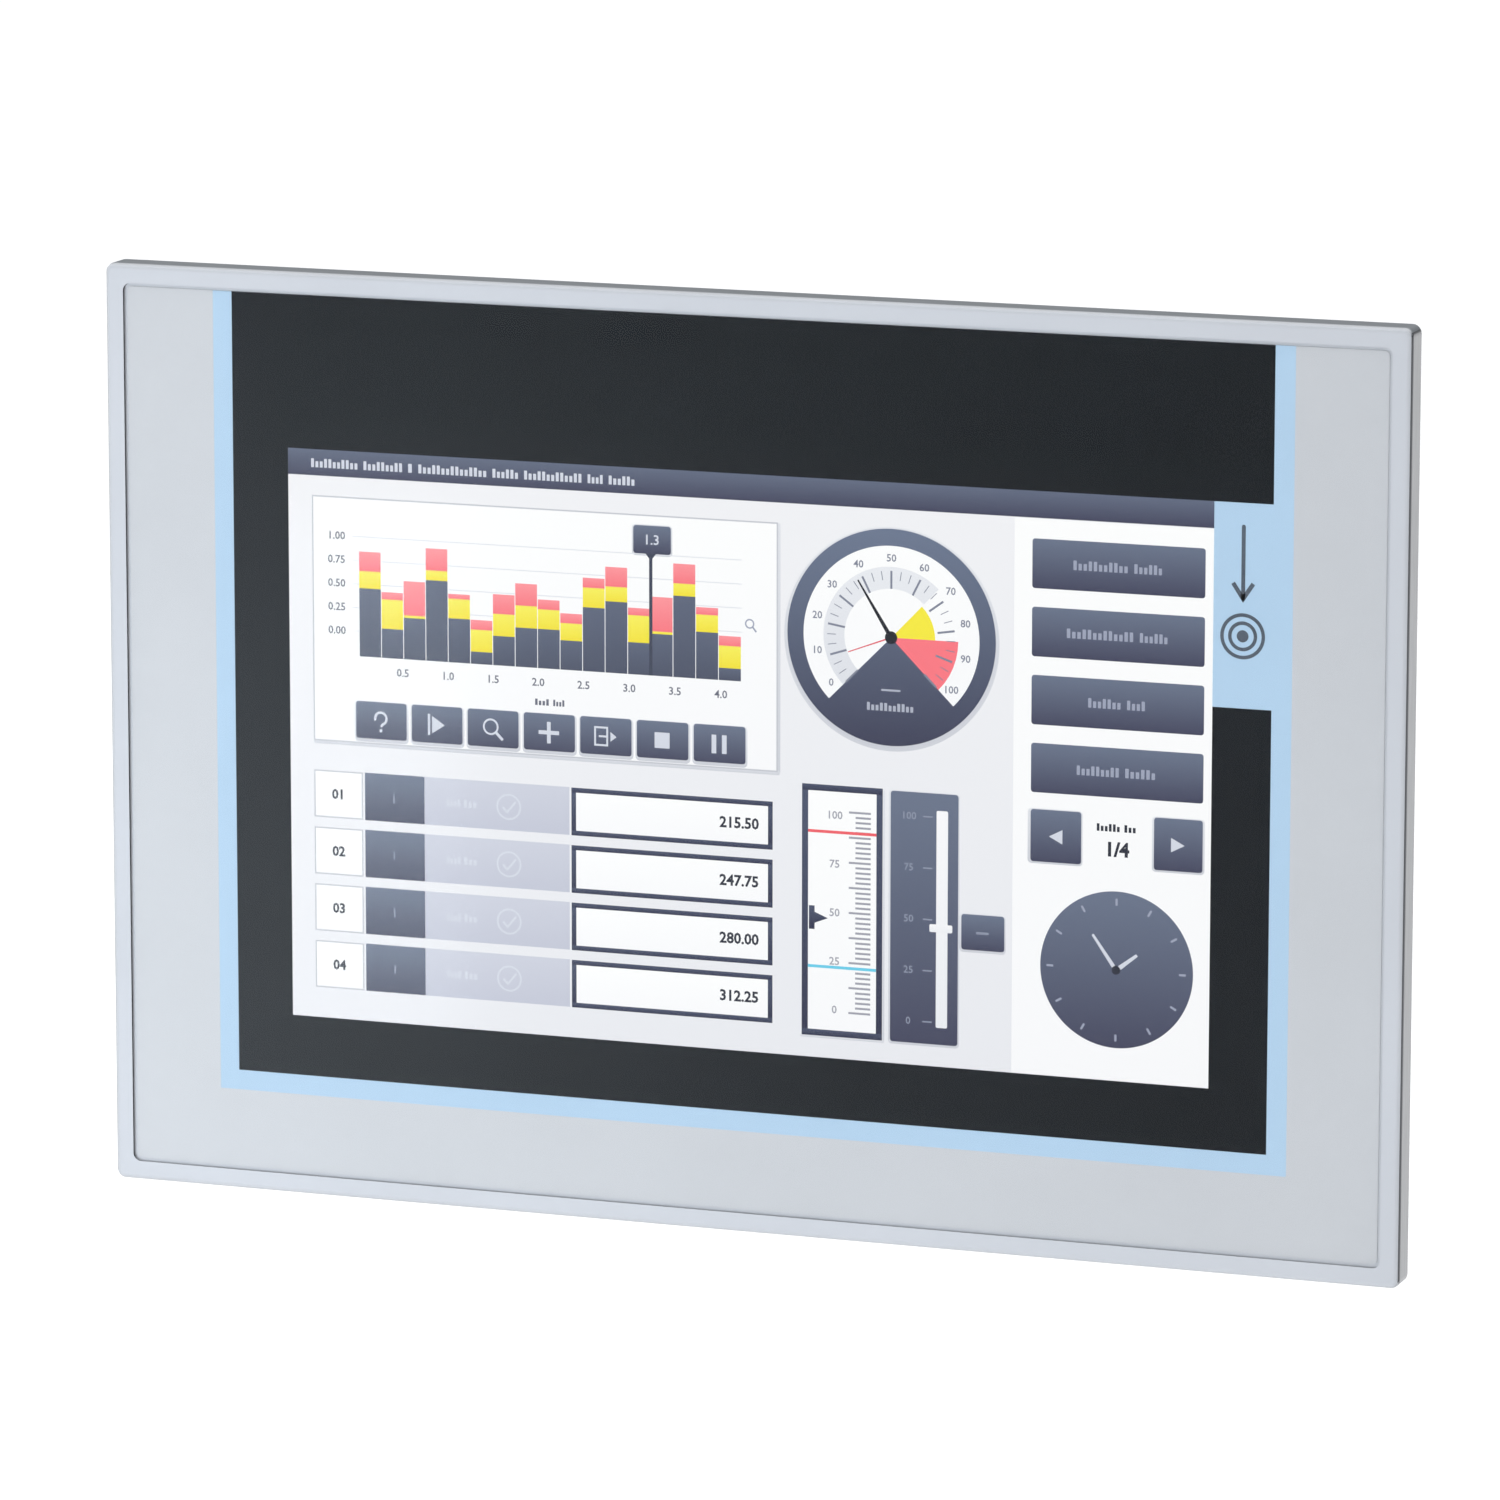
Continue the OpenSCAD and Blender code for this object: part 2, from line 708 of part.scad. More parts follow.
// Pad that presses on the back of the cabinet sheet
module clamp_pad(i) {
    z = clip_side(i) * clamp_z;
    color("gray") difference() {
        rod(3.5, pad_y, pad_y + pad_t, clip_x(i), z);
        rod(1.55, pad_y + 0.9, pad_y + pad_t + 1, clip_x(i), z);
    }
}

// Clamp screw: dog point in the pad, thread through the clip, slotted end
module clamp_screw(i) {
    z = clip_side(i) * clamp_z;
    color("silver") difference() {
        union() {
            rod(1.5, pad_y + 1, pad_y + pad_t + 0.5, clip_x(i), z);
            rod(2, pad_y + pad_t + 0.1, screw_end, clip_x(i), z);
        }
        translate([clip_x(i), screw_end, z]) cube([5, 2.4, 0.8], center = true);
    }
}

front_bezel();
mounting_seal();
front_film();
film_print_silver();
film_print_blue();
film_print_black();
touch_sensor();
touch_tape();
touch_tail();
lcd_gasket();
lcd_frame();
lcd_panel();
diffuser_sheets();
light_guide();
led_strip();
lcd_back_plate();
lcd_cable();
display_carrier();
carrier_screws();
board_standoffs();
main_board();
board_screws();
board_chips();
thermal_pad();
heat_sink();
power_capacitors();
cable_sockets();
ethernet_jacks();
usb_sockets();
service_socket();
audio_socket();
serial_connector();
serial_jackscrews();
power_header();
power_plug();
wire_cage(1);  // wire_cage_1
wire_cage(2);  // wire_cage_2
terminal_screw(1);  // terminal_screw_1
terminal_screw(2);  // terminal_screw_2
card_socket();
memory_card(1);  // memory_card_1
memory_card(2);  // memory_card_2
rear_housing();
socket_plate();
housing_screws();
earth_screw();
rating_label();
mounting_clips();
clamp_pad(1);  // clamp_pad_1
clamp_pad(2);  // clamp_pad_2
clamp_pad(3);  // clamp_pad_3
clamp_pad(4);  // clamp_pad_4
clamp_pad(5);  // clamp_pad_5
clamp_pad(6);  // clamp_pad_6
clamp_screw(1);  // clamp_screw_1
clamp_screw(2);  // clamp_screw_2
clamp_screw(3);  // clamp_screw_3
clamp_screw(4);  // clamp_screw_4
clamp_screw(5);  // clamp_screw_5
clamp_screw(6);  // clamp_screw_6
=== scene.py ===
import math

import bmesh
import bpy
from mathutils import Matrix, Vector


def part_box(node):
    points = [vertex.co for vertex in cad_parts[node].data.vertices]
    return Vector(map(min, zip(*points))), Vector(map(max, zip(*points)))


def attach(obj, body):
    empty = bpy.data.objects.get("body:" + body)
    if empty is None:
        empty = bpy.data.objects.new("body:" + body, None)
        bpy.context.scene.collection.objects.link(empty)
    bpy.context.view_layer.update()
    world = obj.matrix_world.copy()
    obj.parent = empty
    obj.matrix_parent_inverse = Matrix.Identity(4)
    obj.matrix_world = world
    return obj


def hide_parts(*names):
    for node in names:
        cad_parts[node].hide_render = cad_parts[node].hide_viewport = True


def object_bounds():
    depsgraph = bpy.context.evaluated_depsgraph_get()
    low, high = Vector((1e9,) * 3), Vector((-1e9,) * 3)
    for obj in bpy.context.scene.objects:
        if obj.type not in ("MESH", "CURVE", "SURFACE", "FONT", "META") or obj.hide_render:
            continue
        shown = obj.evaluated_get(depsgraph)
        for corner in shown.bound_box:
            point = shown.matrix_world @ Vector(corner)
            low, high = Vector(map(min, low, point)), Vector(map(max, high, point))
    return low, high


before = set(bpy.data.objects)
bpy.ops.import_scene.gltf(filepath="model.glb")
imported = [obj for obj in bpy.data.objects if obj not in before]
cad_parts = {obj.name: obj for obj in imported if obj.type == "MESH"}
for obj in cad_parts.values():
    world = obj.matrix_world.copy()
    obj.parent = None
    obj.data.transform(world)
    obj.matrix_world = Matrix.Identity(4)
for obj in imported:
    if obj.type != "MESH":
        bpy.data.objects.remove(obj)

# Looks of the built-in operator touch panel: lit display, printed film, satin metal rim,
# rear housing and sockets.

cad_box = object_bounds()
scene = bpy.context.scene
MM = 0.001
ROWS, ROW_LOW, ROW_HIGH, ROW_PITCH = 4, 5.9, 15.7, 11.8   # value rows on the screen, in mm
SMALL_BUTTONS, SMALL_PITCH = 7, 12.14                     # small buttons under the chart
WIDE_BUTTONS, WIDE_PITCH = 4, 13.6                        # wide buttons at the right
JACK_WIDTH, BUS_WIDTH, SERVICE_WIDTH = 16.0, 13.2, 7.6    # widths of the sockets, in mm
FLOOR_DROP = 0.35       # the panel hovers this far above the floor, as one built into a door does


# ---------- frame: where things are ----------

def low(node):
    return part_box(node)[0]


def high(node):
    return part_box(node)[1]


INK_FRONT = high("front_film").y     # the inks lie 0.03 mm behind this
SCREEN_FRONT = low("lcd_panel").y
VIEW_W, VIEW_H = 0.195, 0.117       # window in the black print
VIEW_Z = 0.0007                     # height of the window's centre
BLACK_RIGHT = high("film_print_black").x
TAB_LOW, TAB_HIGH = 0.0186, 0.0592  # ends of the blue tab beside the window
SERIAL_Y = (low("serial_jackscrews").y + high("serial_jackscrews").y) / 2


# ---------- camera, floor and light ----------

def place_camera():
    """Photograph's view: from the right and slightly above, through a long lens."""
    azimuth, elevation, roll = math.radians(19.9), math.radians(10.8), math.radians(0.05)
    distance = 1.78
    target = Vector((0.0018, low("front_bezel").y, 0.0038))
    back = Vector((math.sin(azimuth) * math.cos(elevation),
                   -math.cos(azimuth) * math.cos(elevation),
                   math.sin(elevation)))
    data = bpy.data.cameras.new("camera")
    data.sensor_width = 36
    data.lens = 214.8
    data.clip_end = 100
    camera = bpy.data.objects.new("camera", data)
    turn = (-back).to_track_quat("-Z", "Y").to_matrix().to_4x4()
    camera.matrix_world = Matrix.Translation(target + back * distance) @ turn @ Matrix.Rotation(roll, 4, "Z")
    scene.collection.objects.link(camera)
    scene.camera = camera


def area_light(name, place, aim, size, power, colour=(1, 1, 1)):
    data = bpy.data.lights.new(name, "AREA")
    data.shape = "RECTANGLE"
    data.size, data.size_y = size
    data.energy = power
    data.color = colour
    lamp = bpy.data.objects.new(name, data)
    lamp.location = place
    lamp.rotation_euler = (Vector(aim) - Vector(place)).to_track_quat("-Z", "Y").to_euler()
    lamp.visible_camera = False
    scene.collection.objects.link(lamp)


def studio():
    floor_z = cad_box[0][2] - FLOOR_DROP
    bm = bmesh.new()
    bmesh.ops.create_circle(bm, cap_ends=True, radius=14, segments=96)
    mesh = bpy.data.meshes.new("floor")
    bm.to_mesh(mesh)
    floor = bpy.data.objects.new("floor", mesh)
    floor.location.z = floor_z
    scene.collection.objects.link(floor)
    mat, nt, shader = new_material("floor")
    shader.inputs["Base Color"].default_value = (0.95, 0.95, 0.95, 1)
    shader.inputs["Roughness"].default_value = 0.9
    shader.inputs["Specular IOR Level"].default_value = 0.0
    mesh.materials.append(mat)

    world = bpy.data.worlds.new("studio")
    scene.world = world
    world.use_nodes = True
    nt = world.node_tree
    coords = nt.nodes.new("ShaderNodeTexCoord")
    split = nt.nodes.new("ShaderNodeSeparateXYZ")
    sky = [(0.0, (0.11, 0.12, 0.13)), (0.36, (0.17, 0.18, 0.19)),
           (0.7, (0.86, 0.87, 0.88)), (1.0, (1, 1, 1))]
    nt.links.new(coords.outputs["Generated"], split.inputs[0])
    nt.links.new(split.outputs["Z"], ramp_input_of(nt, sky, nt.nodes["Background"].inputs["Color"]))
    nt.nodes["Background"].inputs["Strength"].default_value = 1.6

    area_light("key", (-1.5, -1.6, 1.2), (0, 0, 0), (1.4, 1.4), 9)
    area_light("sheen", (-0.58, -0.985, -0.28), (-0.12, 0, -0.08), (0.24, 0.3), 2.6, (0.80, 0.91, 1.0))
    area_light("rear", (-2.2, 1.1, 0.9), (0, 0, 0), (1.4, 1.4), 14)
    area_light("below", (0.3, 0.9, -0.33), (0, 0, -0.05), (1.0, 1.0), 3)
    scene.view_settings.view_transform = "Standard"


# ---------- materials ----------

def new_material(name):
    mat = bpy.data.materials.new(name)
    mat.use_nodes = True
    nt = mat.node_tree
    return mat, nt, nt.nodes["Principled BSDF"]


def noise(nt, scale, detail=3.0, stretch=(1, 1, 1)):
    """Noise in the object's own coordinates, with scale in cycles per metre."""
    coords = nt.nodes.new("ShaderNodeTexCoord")
    mapping = nt.nodes.new("ShaderNodeMapping")
    mapping.inputs["Scale"].default_value = stretch
    node = nt.nodes.new("ShaderNodeTexNoise")
    node.inputs["Scale"].default_value = scale
    node.inputs["Detail"].default_value = detail
    nt.links.new(coords.outputs["Object"], mapping.inputs[0])
    nt.links.new(mapping.outputs[0], node.inputs["Vector"])
    return node.outputs["Fac"]


def ramp_of(nt, value, stops):
    """Colour ramp over value, with stops of (position, colour)."""
    ramp = nt.nodes.new("ShaderNodeValToRGB")
    fill_ramp(ramp, stops)
    nt.links.new(value, ramp.inputs[0])
    return ramp.outputs[0]


def ramp_input_of(nt, stops, target):
    """Adds a colour ramp that feeds target, and returns the ramp's input."""
    ramp = nt.nodes.new("ShaderNodeValToRGB")
    fill_ramp(ramp, stops)
    nt.links.new(ramp.outputs[0], target)
    return ramp.inputs[0]


def fill_ramp(ramp, stops):
    elements = ramp.color_ramp.elements
    while len(elements) < len(stops):
        elements.new(0.5)
    for element, (position, colour) in zip(elements, stops):
        element.position = position
        element.color = (*colour, 1)


def shade(colour, factor):
    return tuple(min(1.0, c * factor) for c in colour)


def map_range(nt, value, start, end):
    node = nt.nodes.new("ShaderNodeMapRange")
    node.inputs["To Min"].default_value = start
    node.inputs["To Max"].default_value = end
    nt.links.new(value, node.inputs["Value"])
    return node.outputs[0]


def bump(nt, shader, height, strength, distance, edge=0.0):
    """Bump from a height, over edges that look rounded to the radius edge."""
    node = nt.nodes.new("ShaderNodeBump")
    node.inputs["Strength"].default_value = strength
    node.inputs["Distance"].default_value = distance
    nt.links.new(height, node.inputs["Height"])
    if edge > 0:
        soft = nt.nodes.new("ShaderNodeBevel")
        soft.samples = 6
        soft.inputs["Radius"].default_value = edge
        nt.links.new(soft.outputs[0], node.inputs["Normal"])
    nt.links.new(node.outputs[0], shader.inputs["Normal"])


def surface(name, colour, rough, metallic=0.0, vary=0.08, grain=900, grain_depth=0.00002,
            grain_strength=0.15, stretch=(1, 1, 1), cloud=30, rough_vary=0.06, coat=0.0, gloss=0.5, edge=0.0):
    """A material with cloudy colour, uneven roughness and a fine surface grain."""
    mat, nt, shader = new_material(name)
    shader.inputs["Specular IOR Level"].default_value = gloss
    shader.inputs["Metallic"].default_value = metallic
    shader.inputs["Coat Weight"].default_value = coat
    clouds = noise(nt, cloud, 4.0)
    tint = ramp_of(nt, clouds, [(0.3, shade(colour, 1 - vary)), (0.7, shade(colour, 1 + vary))])
    nt.links.new(tint, shader.inputs["Base Color"])
    fine = noise(nt, grain, 2.0, stretch)
    nt.links.new(map_range(nt, fine, rough - rough_vary, rough + rough_vary), shader.inputs["Roughness"])
    bump(nt, shader, fine, grain_strength, grain_depth, edge)
    return mat


def clear_sheet(name, tint, ior, rough):
    """Thin clear sheet: lets light straight through, and its outer faces mirror a little by Fresnel."""
    mat, nt, shader = new_material(name)
    nt.nodes.remove(shader)
    through = nt.nodes.new("ShaderNodeBsdfTransparent")
    through.inputs["Color"].default_value = (*tint, 1)
    mirror = nt.nodes.new("ShaderNodeBsdfGlossy")
    mirror.inputs["Color"].default_value = (1, 1, 1, 1)
    fine = noise(nt, 2500, 2.0)
    nt.links.new(map_range(nt, fine, rough * 0.97, rough * 1.03), mirror.inputs["Roughness"])
    fresnel = nt.nodes.new("ShaderNodeFresnel")
    fresnel.inputs["IOR"].default_value = ior
    side = nt.nodes.new("ShaderNodeNewGeometry")
    outer = nt.nodes.new("ShaderNodeMath")
    outer.operation = "SUBTRACT"
    outer.inputs[0].default_value = 1.0
    nt.links.new(side.outputs["Backfacing"], outer.inputs[1])
    share = nt.nodes.new("ShaderNodeMath")
    share.operation = "MULTIPLY"
    nt.links.new(fresnel.outputs[0], share.inputs[0])
    nt.links.new(outer.outputs[0], share.inputs[1])
    mix = nt.nodes.new("ShaderNodeMixShader")
    nt.links.new(share.outputs[0], mix.inputs["Fac"])
    nt.links.new(through.outputs[0], mix.inputs[1])
    nt.links.new(mirror.outputs[0], mix.inputs[2])
    nt.links.new(mix.outputs[0], nt.nodes["Material Output"].inputs["Surface"])
    return mat


def lit(name, bottom, top=None):
    """Light of the display, from the colour at an element's bottom to the one at its top."""
    mat, nt, shader = new_material(name)
    nt.nodes.remove(shader)
    glow = nt.nodes.new("ShaderNodeEmission")
    glow.inputs["Strength"].default_value = 1.0
    coords = nt.nodes.new("ShaderNodeTexCoord")
    split = nt.nodes.new("ShaderNodeSeparateXYZ")
    nt.links.new(coords.outputs["UV"], split.inputs[0])
    top = top or shade(bottom, 1.03)
    nt.links.new(ramp_of(nt, split.outputs["Y"], [(0.0, bottom), (1.0, top)]), glow.inputs["Color"])
    nt.links.new(glow.outputs[0], nt.nodes["Material Output"].inputs["Surface"])
    return mat


def srgb(r, g, b):
    """Linear colour of an sRGB colour given in 0 to 255."""
    return tuple((c / 255 / 12.92) if c <= 10 else ((c / 255 + 0.055) / 1.055) ** 2.4 for c in (r, g, b))


# ---------- flat shapes, drawn in millimetres on a plane ----------

RIGHT, UP, INTO = Vector((1, 0, 0)), Vector((0, 0, 1)), Vector((0, 1, 0))


class Layer:
    """Thin closed shapes on one plane. Points are (u, v) in mm from the plane's origin: u right, v up.
    The plane's front is seen from outside, and its thickness goes in along the third direction."""

    def __init__(self, name, mat, origin, thickness=0.01, slot=None, body="panel", axes=(RIGHT, UP, INTO)):
        self.name, self.mat, self.slot, self.body = name, mat, slot, body
        self.origin, self.axes = Vector(origin), axes
        self.t = thickness * MM
        self.bm = bmesh.new()
        self.uv = self.bm.loops.layers.uv.new("UVMap")

    def at(self, u, v, depth=0.0):
        return self.origin + self.axes[0] * u * MM + self.axes[1] * v * MM + self.axes[2] * depth

    def poly(self, points, box=None):
        """Prism over an outline, anticlockwise as the operator sees it.
        Box is the range its gradient spans."""
        us, vs = [p[0] for p in points], [p[1] for p in points]
        u0, v0, u1, v1 = box or (min(us), min(vs), max(us), max(vs))
        rows = [[self.bm.verts.new(self.at(u, v, depth)) for u, v in points] for depth in (0, self.t)]
        n = len(points)
        faces = [self.bm.faces.new(rows[0]), self.bm.faces.new(rows[1][::-1])]
        for k in range(n):
            j = (k + 1) % n
            faces.append(self.bm.faces.new([rows[0][j], rows[0][k], rows[1][k], rows[1][j]]))
        for face in faces:
            for loop in face.loops:
                away = loop.vert.co - self.origin
                u, v = away.dot(self.axes[0]) / MM, away.dot(self.axes[1]) / MM
                loop[self.uv].uv = ((u - u0) / max(u1 - u0, 1e-6), (v - v0) / max(v1 - v0, 1e-6))

    def rect(self, u0, v0, u1, v1, r=0.0, box=None):
        if r <= 0:
            self.poly([(u0, v0), (u1, v0), (u1, v1), (u0, v1)], box)
            return
        corners = [(u1 - r, v1 - r, 0), (u0 + r, v1 - r, 90), (u0 + r, v0 + r, 180), (u1 - r, v0 + r, 270)]
        points = []
        for cu, cv, start in corners:
            for k in range(6):
                a = math.radians(start + 18 * k)
                points.append((cu + r * math.cos(a), cv + r * math.sin(a)))
        self.poly(points, box)

    def sector(self, cu, cv, r0, r1, a0, a1, steps=48):
        """Ring sector from angle a0 to a1 in degrees, as quads; r0 of 0 gives a pie."""
        count = max(2, int(steps * abs(a1 - a0) / 360))
        box = (cu - r1, cv - r1, cu + r1, cv + r1)

        def at(r, k):
            a = math.radians(a0 + (a1 - a0) * k / count)
            return (cu + r * math.cos(a), cv + r * math.sin(a))

        if r0 <= 0:
            points = [at(r1, k) for k in range(count + (0 if a1 - a0 >= 360 else 1))]
            if a1 - a0 < 360:
                points.append((cu, cv))
            self.poly(points, box)
            return
        for k in range(count):
            self.poly([at(r1, k), at(r1, k + 1), at(r0, k + 1), at(r0, k)], box)

    def line(self, p, q, width, tip=None):
        """Straight stroke from p to q, narrowing to tip at q."""
        d = Vector((q[0] - p[0], q[1] - p[1])).normalized()
        side = Vector((-d.y, d.x))
        a, b = width / 2, (width if tip is None else tip) / 2
        self.poly([(p[0] + side.x * a, p[1] + side.y * a), (p[0] - side.x * a, p[1] - side.y * a),
                   (q[0] - side.x * b, q[1] - side.y * b), (q[0] + side.x * b, q[1] + side.y * b)])

    def frame(self, u0, v0, u1, v1, w):
        """Rectangular outline of width w, inside the given corners."""
        self.rect(u0, v0, u1, v0 + w)
        self.rect(u0, v1 - w, u1, v1)
        self.rect(u0, v0 + w, u0 + w, v1 - w)
        self.rect(u1 - w, v0 + w, u1, v1 - w)

    def words(self, u, v, height, lengths, gap=1.0):
        """Greeked words: runs of short upright strokes that stand for text without any letters."""
        for length in lengths:
            count = max(1, round(length / (0.55 * height)))
            step = length / count
            for k in range(count):
                tall = 1.0 if k % 4 in (0, 3) else 0.7
                self.rect(u + k * step, v, u + (k + 0.66) * step, v + height * tall)
            u += length + gap

    def number(self, text, u, v, height, align="CENTER", bold=0.0):
        """Plain digits, as on a dial, with their strokes made bolder by a share of their height."""
        curve = bpy.data.curves.new("digits", "FONT")
        curve.body = text
        curve.size = height * 1.4
        curve.align_x = align
        curve.align_y = "CENTER"
        curve.resolution_u = 2
        curve.offset = bold * height
        curve.extrude = self.t / MM / 2
        holder = bpy.data.objects.new("digits", curve)
        scene.collection.objects.link(holder)
        mesh = holder.to_mesh()
        made = {}
        for face in mesh.polygons:
            corners = []
            for index in face.vertices:
                co = mesh.vertices[index].co
                key = tuple(round(c, 5) for c in co)
                if key not in made:
                    made[key] = self.bm.verts.new(self.at(u + co.x, v + co.y, self.t / 2 - co.z * MM))
                corners.append(made[key])
            if len(set(corners)) == len(corners) and not self.bm.faces.get(corners):
                for loop in self.bm.faces.new(corners).loops:
                    loop[self.uv].uv = (0.5, 0.5)
        holder.to_mesh_clear()
        bpy.data.objects.remove(holder)
        bpy.data.curves.remove(curve)

    def done(self):
        bmesh.ops.recalc_face_normals(self.bm, faces=self.bm.faces)
        mesh = bpy.data.meshes.new(self.name)
        self.bm.to_mesh(mesh)
        self.bm.free()
        mesh.materials.append(self.mat)
        piece = bpy.data.objects.new(self.name, mesh)
        scene.collection.objects.link(piece)
        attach(piece, self.body)
        return piece


# ---------- the picture on the display ----------

SLATE_LOW, SLATE_TOP = srgb(66, 68, 92), srgb(106, 116, 138)
SLATE_DARK = srgb(62, 67, 86)
PAPER, PAPER_TOP = srgb(234, 235, 240), srgb(243, 243, 246)


class Screen:
    """Layers of the picture, one material to a layer, each a hair in front of the one before."""

    STEP = 0.012

    def __init__(self):
        self.corner = (-VIEW_W / 2 - 0.0006, VIEW_Z - VIEW_H / 2 - 0.00035)
        self.count = 0

    def layer(self, name, mat):
        self.count += 1
        y = SCREEN_FRONT - self.count * self.STEP * MM
        return Layer("screen_" + name, mat, (self.corner[0], y, self.corner[1]), self.STEP * 0.8, "screen")


def draw_screen():
    screen = Screen()
    w, h = VIEW_W / MM, VIEW_H / MM

    paper = screen.layer("paper", lit("screen_paper", PAPER, PAPER_TOP))
    paper.rect(-1.5, -1.5, w + 1.5, h + 1.5)
    paper.done()

    white = screen.layer("white", lit("screen_white", srgb(250, 250, 252), srgb(255, 255, 255)))
    white.rect(153.8, -1.5, w + 1.5, 111.3)
    white.rect(4.5, 57.1, 104.5, 107.5, 0.8)
    for row in range(ROWS):
        white.rect(4.5, ROW_LOW + ROW_PITCH * row, 15.2, ROW_HIGH + ROW_PITCH * row)
        white.rect(60.5, ROW_LOW + ROW_PITCH * row, 103.5, ROW_HIGH + ROW_PITCH * row)
    white.rect(109.7, 4.1, 126.7, 55.3)
    white.done()

    shadow = screen.layer("shadows", lit("screen_shadow", srgb(206, 208, 216), srgb(226, 228, 234)))
    for k in range(SMALL_BUTTONS):
        shadow.rect(13.5 + SMALL_PITCH * k, 57.5, 25.2 + SMALL_PITCH * k, 65.9, 0.9)
    shadow.rect(4.5, 56.5, 104.9, 57.4, 0.3)
    shadow.rect(104.3, 56.9, 105.0, 107.3, 0.3)
    shadow.sector(128.3, 85.4, 0, 22.5, 0, 360, 96)
    shadow.rect(73.5, 99.2, 82.1, 105.5, 0.8)
    shadow.rect(156.9, 42.4, 168.3, 53.5, 0.8)
    shadow.rect(182.6, 42.4, 193.4, 53.5, 0.8)
    shadow.rect(109.3, 3.6, 127.1, 4.1, 0.2)
    shadow.rect(126.7, 3.9, 127.1, 54.9, 0.2)
    shadow.rect(127.9, 3.6, 142.8, 55.2, 0.8)
    shadow.rect(142.8, 23.4, 152.5, 31.3, 0.8)
    shadow.done()

    slate = screen.layer("slate", lit("screen_slate", SLATE_LOW, SLATE_TOP))
    slate.rect(-1.5, 111.5, w + 1.5, h + 1.5)
    for k in range(SMALL_BUTTONS):
        slate.rect(13.8 + SMALL_PITCH * k, 58.2, 24.8 + SMALL_PITCH * k, 65.8, 0.6)
    for k in range(WIDE_BUTTONS):
        slate.rect(157.5, 56.7 + WIDE_PITCH * k, 193, 66.6 + WIDE_PITCH * k, 0.6)
    slate.rect(157.5, 42.8, 168, 53.3, 0.6)
    slate.rect(183, 42.8, 193, 53.3, 0.6)
    slate.rect(128.3, 4.1, 142.5, 55, 0.6)
    slate.rect(143.2, 23.9, 152.2, 31.1, 0.6)
    slate.sector(175.5, 22.1, 0, 15.8, 0, 360, 96)
    slate.rect(73.8, 99.6, 81.8, 105.3, 0.6)
    for row in range(ROWS):
        slate.rect(15.6, ROW_LOW + ROW_PITCH * row, 28.6, ROW_HIGH + ROW_PITCH * row)
    slate.done()

    lavender = screen.layer("lavender", lit("screen_lavender", srgb(196, 199, 214), srgb(206, 209, 222)))
    for row in range(ROWS):
        lavender.rect(28.6, ROW_LOW + ROW_PITCH * row, 60, ROW_HIGH + ROW_PITCH * row)
    lavender.done()

    draw_chart(screen)
    draw_gauge(screen)
    draw_meters(screen)
    draw_marks(screen)


def draw_chart(screen):
    """Stacked bar chart: slate, yellow and pink shares of each bar, in mm above the base line."""
    shares = [(14, 17.5, 21.5), (6, 12, 13.5), (8.5, 9, 16), (16.5, 18.5, 23), (9, 13, 14), (2.5, 7, 9),
              (6, 10.5, 14.5), (8, 12.5, 17), (8, 12, 14), (6, 9.5, 11.5), (13, 17, 19), (14.5, 17.5, 21.5),
              (6.5, 12, 13.5), (8.5, 9, 16), (16.5, 19, 23), (9.5, 13, 14.5), (2.5, 7, 9)]
    left, base, pitch = 14.7, 75.0, 4.83
    colours = [lit("screen_bar_slate", srgb(74, 80, 100), srgb(92, 100, 122)),
               lit("screen_bar_yellow", srgb(244, 226, 50), srgb(250, 240, 90)),
               lit("screen_bar_pink", srgb(250, 120, 130), srgb(255, 150, 156))]
    lines = screen.layer("chart_grid", lit("screen_grid", srgb(226, 228, 234)))
    for k in range(5):
        lines.rect(left - 1.5, base + 5 + 4.85 * k, left + 17 * pitch, base + 5.2 + 4.85 * k)
    lines.done()
    for level, (name, mat) in enumerate(zip(("slate", "yellow", "pink"), colours)):
        bars = screen.layer("bars_" + name, mat)
        for k, heights in enumerate(shares):
            start = 0 if level == 0 else heights[level - 1]
            u = left + pitch * k
            bars.rect(u, base + start, u + pitch - 0.15, base + heights[level])
        bars.done()
    frame_lines = screen.layer("outlines", lit("screen_outline", srgb(196, 198, 206)))
    frame_lines.frame(4.5, 57.1, 104.5, 107.5, 0.3)
    for row in range(4):
        frame_lines.frame(4.5, 5.9 + 11.8 * row, 15.2, 15.7 + 11.8 * row, 0.3)
    frame_lines.done()
    cursor = screen.layer("cursor", lit("screen_cursor", SLATE_DARK))
    cursor.rect(77.2, base, 77.9, 99.6)
    cursor.poly([(76.4, 99.7), (77.55, 98.2), (78.7, 99.7)])
    cursor.done()


